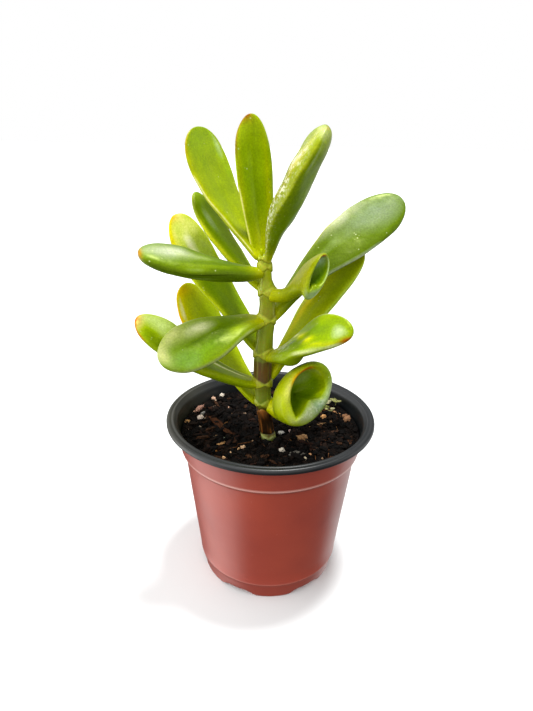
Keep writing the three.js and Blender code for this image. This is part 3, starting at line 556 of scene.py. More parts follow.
# ---- Leaves ----------------------------------------------------------------------------------
def blade_growth(leaf):
    """How a fleshy blade grows on its midrib, as the function that grown_skin asks for."""
    rib, chord = midrib(leaf["foot"], leaf["tip"], leaf["leaves"], leaf["ends"], BLADE_REACH)
    azimuth = math.radians(leaf["leaves"][0])
    upper = Vector((-FACE_LEAN * math.cos(azimuth), -FACE_LEAN * math.sin(azimuth), 1)).normalized()
    widest = leaf["widest"]
    foot_tone, body_tone, tip_tone, rim_tone = [linear(tone) for tone in leaf["tones"]]
    sections = {}

    def section(u):
        centre, along = rib(u)
        tipward = min(1, max(0, (u - widest) / (1 - widest)))
        if u < widest:
            outline = blend(leaf["neck"], 1, ease(u / widest))
            bent = blend(leaf["fold"][0], leaf["fold"][1], ease(u / widest))
        else:
            outline = math.sqrt(max(0, 1 - tipward ** leaf.get("blunt", BLUNT)))
            bent = blend(leaf["fold"][1], leaf["fold"][2], ease(tipward))
        if u < THICKEST:
            swell = blend(leaf.get("heel", HEEL), 1, ease(u / THICKEST))
        else:
            swell = blend(1, TIP_THICKNESS, ease((u - THICKEST) / (1 - THICKEST)))
        closing = max(0, (u - CLOSES_FROM) / CLOSES_OVER)
        rounding = math.sqrt(max(0, 1 - closing ** CLOSES_LIKE))
        waist = 1 - leaf.get("taper", FOOT_TAPER) * bell(u * chord, FOOT_TAPER_REACH)
        half_width = max(0.01, leaf["width"] / 2 * outline * waist)
        half_thick = leaf["thick"] / 2 * swell * rounding * waist
        curl = math.radians(bent) / (2 * half_width)
        normal = (upper - along * upper.dot(along)).normalized()
        roll = math.radians(blend(leaf["roll"][0], leaf["roll"][1], ease(u)))
        normal.rotate(Quaternion(along, roll))
        side = normal.cross(along)
        sink = (1 - math.cos(curl * half_width)) / curl / 2
        return centre, side, normal, half_width, half_thick, curl, sink

    def grow(t, v):
        step = max(0, (t - 0.02) / 0.98)
        u = 1 - (1 - step) ** 1.5
        if u not in sections:
            sections[u] = section(u)
        centre, side, normal, half_width, half_thick, curl, sink = sections[u]
        turn = math.radians(v)
        across, face = math.cos(turn), math.sin(turn)
        out = half_thick * math.copysign(abs(face) ** leaf.get("edge", EDGE), face)
        if face < 0 and "bulge" in leaf:
            at, reach, depth = leaf["bulge"]
            out -= depth * bell(u - at, reach) * -face
        for at, round_to, reach, spread, rise in leaf.get("dents", []):
            risen = rise * bell(u - at, reach) * bell(angle_apart(v, round_to), spread)
            out += math.copysign(risen, face)
        if face > 0:
            groove = leaf.get("groove", GROOVE) * bell(across, GROOVE_WIDTH)
            out -= groove * ease(u * 5) * ease((1 - u) * 4)
        bow = half_width * across * curl
        point = centre + side * (math.sin(bow) / curl - out * math.sin(bow)) \
            + normal * ((1 - math.cos(bow)) / curl + out * math.cos(bow) - sink)
        if t < 0.01:
            point = Vector(leaf["foot"])
        else:
            uneven = leaf.get("uneven", UNEVEN)
            point += noise.noise_vector(point / LEAF_WANDER) * uneven * ease(u * 4)
        tone = mixed(foot_tone, body_tone, ease(u / 0.35))
        tone = mixed(tone, tip_tone, ease((u - 0.65) / 0.35))
        tone = mixed(tone, rim_tone, abs(across) ** 8 * 0.8 * ease(u * 4))
        tone = mixed(tone, linear(CLASP_TONE), CLASP_STRENGTH * bell(u * chord, CLASP_REACH))
        return point, (u * chord, half_width * across, face * 2), wash_over(tone, leaf, u, v)

    return grow


def reach_of(opening, v):
    """The bowl's reach at an angle round the mouth, eased from one given reach to the next."""
    turned = opening + [(opening[0][0] + 360, opening[0][1])]
    for (a, reach_a), (b, reach_b) in zip(turned, turned[1:]):
        if a <= v <= b:
            return blend(reach_a, reach_b, ease((v - a) / (b - a)))
    return opening[0][1]


def cup_growth(leaf):
    """How a cup grows: up its stalk to the mouth, over the rolled lip and down the bowl."""
    rib, chord = midrib(leaf["foot"], leaf["mouth"], leaf["leaves"], leaf["faces"], STALK_REACH)
    faces = direction(*leaf["faces"])
    long_axis = (Vector((0, 0, 1)) - faces * faces.z).normalized()
    long_axis.rotate(Quaternion(faces, math.radians(leaf["turn"])))
    wide_axis = faces.cross(long_axis)
    mouth = Vector(leaf["mouth"])
    half_length, half_width = leaf["length"] / 2, leaf["width"] / 2
    foot_tone, body_tone, bowl_tone, lip_tone = [linear(tone) for tone in leaf["tones"]]

    def grow(t, v):
        turn = math.radians(v)
        across, face = math.cos(turn), math.sin(turn)
        if t < 0.01:
            return Vector(leaf["foot"]), (0, 0, 0), (*foot_tone[:3], 0)
        if t < LIP_FROM:
            u = (t - 0.01) / (LIP_FROM - 0.01)
            centre, along = rib(u)
            lengthwise = (long_axis - along * long_axis.dot(along)).normalized()
            start, power = leaf["swell"]
            swollen = ease((u - start) / (1 - start)) ** power
            point = centre + lengthwise * blend(leaf["stalk"], half_length, swollen) * across \
                + along.cross(lengthwise) * blend(leaf["stalk"], half_width, swollen) * face
            tone = mixed(foot_tone, body_tone, ease(u / 0.5))
            tone = mixed(tone, linear(CLASP_TONE), CLASP_STRENGTH * bell(u * chord, CLASP_REACH))
        else:
            open_to = reach_of(leaf["opening"], v)
            if t < BOWL_FROM:
                w = (t - LIP_FROM) / (BOWL_FROM - LIP_FROM)
                share = blend(1, open_to, 1 - (1 - w) ** 1.2)
                plump = min(1, math.sqrt((1 - open_to) / 0.35))
                height = leaf["lip"] * plump * math.sin(math.pi * (0.06 + 0.8 * w ** 0.8))
                tone = mixed(body_tone, lip_tone, ease(w * 1.6))
            else:
                w = (t - BOWL_FROM) / (1 - BOWL_FROM)
                plump = min(1, math.sqrt((1 - open_to) / 0.35))
                edge = leaf["lip"] * plump * math.sin(math.pi * 0.86)
                share = open_to * (1 - ease(w) ** 0.8)
                height = edge - (edge + leaf["depth"]) * (1 - (1 - w) ** 2.4)
                tone = mixed(lip_tone, bowl_tone, ease(w * 4))
            point = mouth + faces * height + long_axis * half_length * share * across \
                + wide_axis * half_width * share * face
        point = point + noise.noise_vector(point / CUP_WANDER) * UNEVEN * ease(t * 3)
        place = (t * chord * 2, half_width * across, face * half_width)
        return point, place, wash_over(tone, leaf, t, v)

    return grow


# ---- Materials -------------------------------------------------------------------------------
def node(tree, kind, inputs=None, stops=None, **settings):
    """Adds a node of a shader's kind with its settings. inputs are values or the sockets that feed
    it, by name or number (a Map Range's 1 to 4 are what it maps from and to), and stops are a
    colour ramp's: a place with a hex colour or a grey."""
    made = tree.nodes.new("ShaderNode" + kind)
    for name, value in settings.items():
        setattr(made, name, value)
    for k, (position, colour) in enumerate(stops or []):
        if k < 2:
            made.color_ramp.elements[k].position = position
        stop = made.color_ramp.elements[k] if k < 2 else made.color_ramp.elements.new(position)
        stop.color = linear(colour) if isinstance(colour, str) else (colour, colour, colour, 1)
    for socket, value in (inputs or {}).items():
        if isinstance(value, bpy.types.NodeSocket):
            tree.links.new(value, made.inputs[socket])
        else:
            made.inputs[socket].default_value = value
    return made


# Settings of a Mix node for colours. Its factor is input 0, its colours 6 and 7 and its result 2.
BLEND = {"data_type": "RGBA", "blend_type": "MIX"}
MULTIPLY = {"data_type": "RGBA", "blend_type": "MULTIPLY"}
OVERLAY = {"data_type": "RGBA", "blend_type": "OVERLAY"}


def new_finish(name, **shader):
    """A material with its Principled shader's constant values set, and the shader."""
    material = bpy.data.materials.new(name)
    material.use_nodes = True
    principled = material.node_tree.nodes["Principled BSDF"]
    for socket, value in shader.items():
        principled.inputs[socket.replace("_", " ")].default_value = value
    return material, material.node_tree, principled


def leaf_flesh():
    """Jade leaf flesh, grown: thick clear-green tissue under a smooth waxy skin. The eye gets depth
    from light scattered in the flesh, pale streaks along the blade, fine pale dots, a soft green
    shine and painted glints: pale chips laid into the colour where a leaf's sparkle asks for them.
    The tone that it reads carries the leaves' painted sheen and shade as well as their own colours."""
    material, tree, shader = new_finish(
        "jade_leaf_flesh", Subsurface_Weight=0.12, Subsurface_Scale=0.002,
        Subsurface_Radius=(0.8, 1.0, 0.1), IOR=1.45, Specular_IOR_Level=0.4,
        Specular_Tint=(0.92, 1.0, 0.22, 1),
    )
    painted = node(tree, "Attribute", attribute_name="tone")
    tone, glints = painted.outputs["Color"], painted.outputs["Alpha"]
    place = node(tree, "Attribute", attribute_name="place").outputs["Vector"]
    here = node(tree, "TexCoord").outputs["Object"]
    # Veins under the skin show as streaks about 2 mm wide and 20 mm long.
    along = node(tree, "Mapping", {"Vector": place, "Scale": (0.045, 0.42, 0.3)})
    streaks = node(tree, "TexNoise", {"Vector": along.outputs[0], "Scale": 1, "Detail": 4})
    streak = node(tree, "ValToRGB", {"Fac": streaks.outputs["Fac"]},
                  stops=[(0.4, 0.0), (0.72, 1.0)])
    # Clouding of the flesh, 6 mm across.
    clouds = node(tree, "TexNoise", {"Vector": here, "Scale": 160, "Detail": 3})
    cloud = node(tree, "ValToRGB", {"Fac": clouds.outputs["Fac"]},
                 stops=[(0.32, 0.0), (0.62, 1.0)])
    deep = node(tree, "Mix", {0: 1, 6: tone, 7: (0.84, 0.88, 0.7, 1)}, **MULTIPLY).outputs[2]
    clouded = node(tree, "Mix", {0: cloud.outputs["Color"], 6: deep, 7: tone}, **BLEND).outputs[2]
    pale = node(tree, "Mix", {0: 1, 6: clouded, 7: (1.16, 1.1, 1.2, 1)}, **MULTIPLY).outputs[2]
    streaked = node(tree, "Mix", {0: streak.outputs["Color"], 6: clouded, 7: pale},
                    **BLEND).outputs[2]
    # The skin's cells: a grain of 0.4 mm, drawn at 0.7 mm so that it shows.
    grain = node(tree, "TexNoise", {"Vector": here, "Scale": 1400, "Detail": 2})
    grained = node(tree, "Mix", {0: 0.4, 6: streaked, 7: grain.outputs["Fac"]},
                   **OVERLAY).outputs[2]
    # Pores 0.4 mm wide, in patches.
    pores = node(tree, "TexVoronoi", {"Vector": here, "Scale": 480})
    pore = node(tree, "ValToRGB", {"Fac": pores.outputs["Distance"]},
                stops=[(0.08, 1.0), (0.2, 0.0)])
    patchy = node(tree, "TexNoise", {"Vector": here, "Scale": 210})
    patch = node(tree, "ValToRGB", {"Fac": patchy.outputs["Fac"]},
                 stops=[(0.58, 0.0), (0.72, 0.8)])
    dotted = node(tree, "Math", {0: pore.outputs["Color"], 1: patch.outputs["Color"]},
                  operation="MULTIPLY")
    rich = node(tree, "HueSaturation", {"Color": grained, "Saturation": 1.25}).outputs[0]
    dots = node(tree, "Mix", {0: dotted.outputs[0], 6: rich, 7: linear("#dfe8a8")},
                **BLEND).outputs[2]
    # Painted glints: pale chips of 0.6 mm in clumps of 3 mm, where the sparkle asks for them.
    chips = node(tree, "TexVoronoi", {"Vector": here, "Scale": 1300})
    bright = node(tree, "SeparateXYZ", {0: chips.outputs["Color"]}).outputs["X"]
    clumps = node(tree, "TexNoise", {"Vector": here, "Scale": 330, "Detail": 2})
    crowd = node(tree, "MapRange", {"Value": clumps.outputs["Fac"], 1: 0.36, 2: 0.62,
                                              3: -0.3, 4: 0.25}).outputs[0]
    crowded = node(tree, "Math", {0: bright, 1: crowd}, operation="ADD").outputs[0]
    chip = node(tree, "ValToRGB", {"Fac": crowded}, stops=[(0.5, 0.0), (0.95, 1.0)])
    glinting = node(tree, "Math", {0: chip.outputs["Color"], 1: glints}, operation="MULTIPLY")
    glinted = node(tree, "Mix", {0: glinting.outputs[0], 6: dots, 7: linear("#f2f2dc")},
                  **BLEND).outputs[2]
    tree.links.new(glinted, shader.inputs["Base Color"])
    rough = node(tree, "MapRange", {"Value": clouds.outputs["Fac"], 3: 0.24, 4: 0.44})
    tree.links.new(rough.outputs[0], shader.inputs["Roughness"])
    # The skin's grain, hollows of 4 mm and the glint chips stand up from it.
    relief = node(tree, "Math", {0: grain.outputs["Fac"], 1: 0.15}, operation="MULTIPLY")
    hollows = node(tree, "TexNoise", {"Vector": here, "Scale": 260, "Detail": 1})
    relief = node(tree, "Math", {0: hollows.outputs["Fac"], 1: relief.outputs[0]},
                  operation="ADD")
    relief = node(tree, "Math", {0: glinting.outputs[0], 1: relief.outputs[0]}, operation="ADD")
    bump = node(tree, "Bump", {"Height": relief.outputs[0], "Strength": 0.35,
                                         "Distance": 0.0006})
    tree.links.new(bump.outputs[0], shader.inputs["Normal"])
    return material


def stem_skin():
    """Jade stem skin, grown: dull green cork-flecked skin, woody and brown lower down."""
    material, tree, shader = new_finish(
        "jade_stem_skin", Subsurface_Weight=0.08, Subsurface_Scale=0.001, IOR=1.5,
        Subsurface_Radius=(1.0, 0.8, 0.2), Specular_Tint=(0.9, 1.0, 0.5, 1),
    )
    tone = node(tree, "Attribute", attribute_name="tone").outputs["Color"]
    here = node(tree, "TexCoord").outputs["Object"]
    # Fibres of 1 mm by 8 mm up the stem.
    upward = node(tree, "Mapping", {"Vector": here, "Scale": (420, 420, 120)})
    fibres = node(tree, "TexNoise", {"Vector": upward.outputs[0], "Scale": 1, "Detail": 4})
    dark = node(tree, "Mix", {0: 1, 6: tone, 7: (0.72, 0.68, 0.55, 1)}, **MULTIPLY).outputs[2]
    streak = node(tree, "ValToRGB", {"Fac": fibres.outputs["Fac"]},
                  stops=[(0.32, 1.0), (0.55, 0.0)])
    streaked = node(tree, "Mix", {0: streak.outputs["Color"], 6: tone, 7: dark}, **BLEND).outputs[2]
    # Cork flecks of 0.6 mm.
    flecks = node(tree, "TexNoise", {"Vector": here, "Scale": 1500, "Detail": 3})
    flecked = node(tree, "Mix", {0: 0.35, 6: streaked, 7: flecks.outputs["Color"]},
                   **OVERLAY).outputs[2]
    tree.links.new(flecked, shader.inputs["Base Color"])
    rough = node(tree, "MapRange", {"Value": fibres.outputs["Fac"], 3: 0.22, 4: 0.45})
    tree.links.new(rough.outputs[0], shader.inputs["Roughness"])
    bump = node(tree, "Bump", {"Height": fibres.outputs["Fac"], "Strength": 0.5,
                                         "Distance": 0.0003})
    tree.links.new(bump.outputs[0], shader.inputs["Normal"])
    return material


def red_plastic():
    """Polypropylene sheet, thermoformed: smooth terracotta red with a soft satin sheen and pale
    lines along the ridges, partly stress whitening and partly painted highlight."""
    material, tree, shader = new_finish(
        "terracotta_polypropylene", IOR=1.49, Specular_IOR_Level=0.5, Coat_Weight=0.5,
        Coat_Roughness=0.3, Coat_IOR=1.5,
    )
    here = node(tree, "TexCoord").outputs["Object"]
    height = node(tree, "SeparateXYZ", {0: here}).outputs["Z"]
    # The sheet's colour drifts over about 30 mm, with flow specks of 1.5 mm.
    drift = node(tree, "TexNoise", {"Vector": here, "Scale": 32, "Detail": 3})
    body = node(tree, "ValToRGB", {"Fac": drift.outputs["Fac"]},
                stops=[(0.3, "#983a2b"), (0.7, "#a8432f")])
    specks = node(tree, "TexNoise", {"Vector": here, "Scale": 700, "Detail": 2})
    speck = node(tree, "ValToRGB", {"Fac": specks.outputs["Fac"]},
                 stops=[(0.7, 0.0), (0.84, 0.22)])
    speckled = node(tree, "Mix", {0: speck.outputs["Color"], 6: body.outputs["Color"],
                                  7: linear("#c9867a")}, **BLEND).outputs[2]
    # Pale lines about 1 mm high on the shoulder and the foot ridge, partly stress whitening; the
    # shoulder's, strong enough to cover the shade under its step, is mostly a painted highlight.
    tone = speckled
    for level, reach, strength in ((0.0687, 0.0012, 0.75), (0.0092, 0.0005, 0.15)):
        away = node(tree, "Math", {0: height, 1: level}, operation="SUBTRACT").outputs[0]
        away = node(tree, "Math", {0: away}, operation="ABSOLUTE").outputs[0]
        line = node(tree, "MapRange", {"Value": away, 1: 0.0, 2: reach, 3: strength, 4: 0.0})
        tone = node(tree, "Mix", {0: line.outputs[0], 6: tone, 7: linear("#f0bcb0")},
                    **BLEND).outputs[2]
    tree.links.new(tone, shader.inputs["Base Color"])
    scuffs = node(tree, "TexNoise", {"Vector": here, "Scale": 90, "Detail": 5})
    rough = node(tree, "MapRange", {"Value": scuffs.outputs["Fac"], 3: 0.3, 4: 0.5})
    tree.links.new(rough.outputs[0], shader.inputs["Roughness"])
    # An orange-peel surface of 2.5 mm.
    peel = node(tree, "TexNoise", {"Vector": here, "Scale": 400})
    bump = node(tree, "Bump", {"Height": peel.outputs["Fac"], "Strength": 0.12,
                                         "Distance": 0.0002})
    tree.links.new(bump.outputs[0], shader.inputs["Normal"])
    return material


def black_plastic():
    """The sheet's black inner face, thermoformed polypropylene: charcoal satin under some dust."""
    material, tree, shader = new_finish("charcoal_polypropylene", IOR=1.49, Specular_IOR_Level=0.5)
    here = node(tree, "TexCoord").outputs["Object"]
    dust = node(tree, "TexNoise", {"Vector": here, "Scale": 60, "Detail": 4})
    dusty = node(tree, "ValToRGB", {"Fac": dust.outputs["Fac"]},
                 stops=[(0.35, "#0e1214"), (0.75, "#181b1d")])
    # The rim's left side turns olive-brown.
    side = node(tree, "SeparateXYZ", {0: here}).outputs["X"]
    leftward = node(tree, "MapRange", {"Value": side, 1: -0.048, 2: -0.03, 3: 0.75, 4: 0.0})
    olive_left = node(tree, "Mix", {0: leftward.outputs[0], 6: dusty.outputs["Color"],
                                7: linear("#34321f")}, **BLEND).outputs[2]
    tree.links.new(olive_left, shader.inputs["Base Color"])
    rough = node(tree, "MapRange", {"Value": dust.outputs["Fac"], 3: 0.28, 4: 0.5})
    tree.links.new(rough.outputs[0], shader.inputs["Roughness"])
    return material


def potting_soil():
    """Peat and composted bark, loose: almost black, matt, with crumbs that catch a little light."""
    material, tree, shader = new_finish("peat_potting_soil", Roughness=0.95,
                                        Specular_IOR_Level=0.12)
    tone = node(tree, "Attribute", attribute_name="tone").outputs["Color"]
    here = node(tree, "TexCoord").outputs["Object"]
    # Grains of 0.8 mm.
    grains = node(tree, "TexNoise", {"Vector": here, "Scale": 1300, "Detail": 5})
    shade = node(tree, "ValToRGB", {"Fac": grains.outputs["Fac"]},
                 stops=[(0.3, 0.35), (0.62, 1.2), (0.75, 2.2)])
    grained = node(tree, "Mix", {0: 1, 6: tone, 7: shade.outputs["Color"]}, **MULTIPLY).outputs[2]
    tree.links.new(grained, shader.inputs["Base Color"])
    bump = node(tree, "Bump", {"Height": grains.outputs["Fac"], "Strength": 0.8,
                                         "Distance": 0.0006})
    tree.links.new(bump.outputs[0], shader.inputs["Normal"])
    return material


# ---- Pot -------------------------------------------------------------------------------------
# Radius and height up the outside, from the middle of the foot's hollow to the neck.
OUTSIDE = [
    (0, 3), (12, 3), (24, 3), (28.4, 3), (29.5, 2.8), (29.9, 2.2), (30.2, 0.7), (30.6, 0.15),
    (31.2, 0), (32.6, 0), (33.2, 0.15), (33.45, 0.6), (33.55, 1.4), (33.7, 2.2), (34.0, 3.4),
    (34.4, 5), (34.9, 7), (35.25, 8.5), (35.45, 8.85), (35.5, 9.1), (35.45, 9.6), (36.1, 16),
    (37.1, 25), (38.2, 34.5), (39.3, 44), (40.3, 53), (41.2, 61), (41.85, 66.2), (42.0, 66.8),
    (42.3, 67.1), (42.55, 67.4), (43.2, 68.1), (43.5, 68.4), (43.65, 68.9), (43.9, 70.5),
    (44.5, 74), (45.1, 78), (45.6, 80.7),
]
# On from the neck under the flange, over the rim and down the inside to the middle of the floor.
INSIDE = [
    (45.6, 80.7), (45.8, 81.1), (46.3, 81.3), (48.6, 81.35), (49.5, 81.5), (49.85, 81.75),
    (50, 82.1), (50, 82.9), (49.85, 83.4), (49.5, 83.8), (49.0, 83.97), (48.4, 83.95),
    (48.0, 83.75), (47.7, 83.7), (47.4, 83.78), (47.0, 84.0), (46.6, 83.95), (46.2, 83.6),
    (45.9, 82.9), (45.3, 82.4), (44.9, 81.8), (44.6, 80.2), (44.0, 76.5), (43.2, 72), (42.6, 69),
    (42.1, 68.4), (41.4, 67.8), (41.05, 67.2), (40, 59), (38.8, 48), (37.4, 36), (36, 24),
    (34.5, 10), (34.3, 9.1), (33.2, 6), (32.4, 4.5), (31.8, 4.2), (24, 4.2), (12, 4.2), (0, 4.2),
]
POT_STEPS = 240
FOOT_LOBES = 6
# Angles round the foot: of the first lobe from the front, of a notch and of the slope at its side.
FOOT_LOBE_TURN = 4
NOTCH_ANGLE = 26
NOTCH_SLOPE = 11
NOTCH_HEIGHT = 2.6
FOOT_RING_INNER = 28.5
DRAIN_RADIUS = 3.5
DRAIN_CENTRE_RADIUS = 26
DRAIN_DRILL = 6
FLOOR_MIDDLE = 3.6
# The thin sheet isn't quite round: its share of sway, the sway's wave and where it starts and ends.
SWAY = 0.0035
SWAY_WAVE = 40
SWAY_FROM, SWAY_TO = 9.5, 80
CREASE_ANGLE = 40


def spun(name, profile):
    """A profile spun once round the pot's axis."""
    mesh = bpy.data.meshes.new(name)
    mesh.from_pydata([(radius * MM, 0, z * MM) for radius, z in profile],
                     [(k, k + 1) for k in range(len(profile) - 1)], [])
    wall = bpy.data.objects.new(name, mesh)
    bpy.context.scene.collection.objects.link(wall)
    only(wall)
    bpy.ops.object.mode_set(mode="EDIT")
    bpy.ops.mesh.select_all(action="SELECT")
    bpy.ops.mesh.spin(steps=POT_STEPS, angle=TURN, center=(0, 0, 0), axis=(0, 0, 1))
    bpy.ops.object.mode_set(mode="OBJECT")
    return wall


def make_pot():
    pot = spun("pot_shell", OUTSIDE)
    pot.data.materials.append(red_plastic())
    lining = spun("pot_lining", INSIDE)
    lining.data.materials.append(black_plastic())
    pot = joined([pot, lining])
    close_up(pot)
    pitch = 360 / FOOT_LOBES
    for vertex in pot.data.vertices:
        x, y, z = vertex.co / MM
        angle = math.degrees(math.atan2(y, x))
        away = angle_apart((angle + 90 - FOOT_LOBE_TURN) % pitch, pitch / 2)
        lift = NOTCH_HEIGHT * ease((NOTCH_ANGLE / 2 + NOTCH_SLOPE / 2 - away) / NOTCH_SLOPE)
        if z < lift and math.hypot(x, y) > FOOT_RING_INNER:
            vertex.co.z = lift * MM
        sway = 1 + SWAY * noise.noise(Vector((x / SWAY_WAVE, y / SWAY_WAVE, z / SWAY_WAVE)))
        if SWAY_FROM < z < SWAY_TO:
            vertex.co.x *= sway
            vertex.co.y *= sway
    cutters = []
    for lobe in range(FOOT_LOBES):
        angle = math.radians(-90 + FOOT_LOBE_TURN + (lobe + 0.5) * pitch)
        x, y = DRAIN_CENTRE_RADIUS * math.cos(angle), DRAIN_CENTRE_RADIUS * math.sin(angle)
        deselect()
        bpy.ops.mesh.primitive_cylinder_add(
            vertices=32, radius=DRAIN_RADIUS * MM, depth=DRAIN_DRILL * MM,
            location=(x * MM, y * MM, FLOOR_MIDDLE * MM))
        cutters.append(bpy.context.object)
    drill = joined(cutters)
    apply_modifier(pot, "BOOLEAN", operation="DIFFERENCE", solver="EXACT", object=drill)
    bpy.data.objects.remove(drill)
    only(pot)
    bpy.ops.object.shade_smooth_by_angle(angle=math.radians(CREASE_ANGLE))
    place_in_frame(pot, "pot_plastic", "pot")


# ---- Soil ------------------------------------------------------------------------------------
LUMP_HEIGHT, LUMP_SIZE = 1.1, 3.4
CRUMB_HEIGHT, CRUMB_SIZE = 0.6, 1.3
SOIL_TONE = "#0d0907"
# The soil's skin under its surface: share of the way along the skin, height and radius.
SURFACE_FROM, SURFACE_SHARE = 0.38, 0.62
SOIL_WALL = [
    (0, 4.9, 0), (0.05, 4.9, 20), (0.1, 4.9, 31.6), (0.16, 9.4, 33.6), (0.3, 67.2, 40.3),
    (0.34, 69, 41.8), (SURFACE_FROM, SOIL_LEVEL, SOIL_RADIUS),
]
# No crumb lies within this distance of the stem.
STEM_CLEARANCE = 5


def soil_height(x, y):
    """Height of the soil's crumbled surface over a place in the pot."""
    waves = math.sin(x * 0.31 + 1.3) * math.cos(y * 0.27 - 0.4)
    waves += 0.6 * math.sin(x * 0.47 - y * 0.36)
    lumps = LUMP_HEIGHT * noise.noise(Vector((x / LUMP_SIZE, y / LUMP_SIZE, 4)))
    crumbs = CRUMB_HEIGHT * noise.noise(Vector((x / CRUMB_SIZE, y / CRUMB_SIZE, 9)))
    return SOIL_LEVEL + SOIL_BUMP * waves / 2 + lumps + crumbs


def soil_growth(t, v):
    """How the soil grows: over the pot's floor, up its wall and back in along the surface."""
    turn = math.radians(v)
    if t >= SURFACE_FROM:
        radius = SOIL_RADIUS * (1 - (t - SURFACE_FROM) / SURFACE_SHARE)
        x, y = radius * math.cos(turn), radius * math.sin(turn)
        return Vector((x, y, soil_height(x, y))), (0, 0, 0), linear(SOIL_TONE)
    for (a, z_a, r_a), (b, z_b, r_b) in zip(SOIL_WALL, SOIL_WALL[1:]):
        if a <= t <= b:
            share = (t - a) / (b - a)
            radius = blend(r_a, r_b, share)
            break
    point = Vector((radius * math.cos(turn), radius * math.sin(turn), blend(z_a, z_b, share)))
    return point, (0, 0, 0), linear(SOIL_TONE)


def scattered(name, model, spots, material, smooth=True):
    """Copies of one modelled shape as one piece. A spot is the copy's matrix and its tone."""
    corners = [vertex.co.copy() for vertex in model.data.vertices]
    sides = [tuple(face.vertices) for face in model.data.polygons]
    points, faces, tones = [], [], []
    for matrix, tone in spots:
        start = len(points)
        points += [matrix @ corner for corner in corners]
        faces += [tuple(start + k for k in side) for side in sides]
        tones += [tone] * len(corners)
    mesh = bpy.data.meshes.new(name)
    mesh.from_pydata(points, [], faces)
    mesh.attributes.new("tone", "FLOAT_COLOR", "POINT")
    for k, tone in enumerate(tones):
        mesh.attributes["tone"].data[k].color = tone
    piece = bpy.data.objects.new(name, mesh)
    bpy.context.scene.collection.objects.link(piece)
    only(piece)
    if smooth:
        bpy.ops.object.shade_smooth()
    bpy.data.objects.remove(model)
    dress(piece, material, "potting_soil")


def spot(x, y, z, size, turn):
    """The matrix of a copy: its size along each axis in millimetres, turned, at its place."""
    place = Matrix.Translation(Vector((x, y, z)) * MM)
    return place @ turn.to_matrix().to_4x4() @ Matrix.Diagonal((*size, 1))


def random_turn(draw):
    round_upright = Quaternion((0, 0, 1), draw.uniform(0, TURN))
    return round_upright @ Quaternion((1, 0, 0), draw.uniform(-math.pi, math.pi))


def stone_model(name, subdivisions, rough):
    """A unit stone, one millimetre in radius: a ball of few faces pushed out of round."""
    deselect()
    bpy.ops.mesh.primitive_ico_sphere_add(subdivisions=subdivisions, radius=MM)
    stone = bpy.context.object
    stone.name = name
    for vertex in stone.data.vertices:
        vertex.co *= 1 + rough * noise.noise(vertex.co / MM * 1.7 + Vector((3, 1, 2)))
    return stone


def splinter_model(name, cuts, rough):
    """A unit splinter, two millimetres each way: a block with broken sides and ends drawn in."""
    deselect()
    bpy.ops.mesh.primitive_cube_add(size=2 * MM)
    splinter = bpy.context.object
    splinter.name = name
    bpy.ops.object.mode_set(mode="EDIT")
    bpy.ops.mesh.select_all(action="SELECT")
    bpy.ops.mesh.subdivide(number_cuts=cuts)
    bpy.ops.object.mode_set(mode="OBJECT")
    for vertex in splinter.data.vertices:
        x, y, z = vertex.co / MM
        thin = 1 - 0.45 * abs(x) ** 3
        push = rough * noise.noise(Vector((x * 1.9, y * 1.6 + 5, z * 1.6)))
        vertex.co = Vector((x * (1 + push), y * thin + push, z * thin + push * 0.6)) * MM
    return splinter


def lying(x, y, length, width, thick, azimuth, rise=0.4, lean=0.0):
    """The matrix of a splinter that lies on the soil, its sizes in millimetres."""
    turn = Quaternion((0, 0, 1), math.radians(azimuth)) @ Quaternion((0, 1, 0), lean)
    height = soil_height(x, y) + rise * thick
    return spot(x, y, height, (length / 2, width / 2, thick / 2), turn)


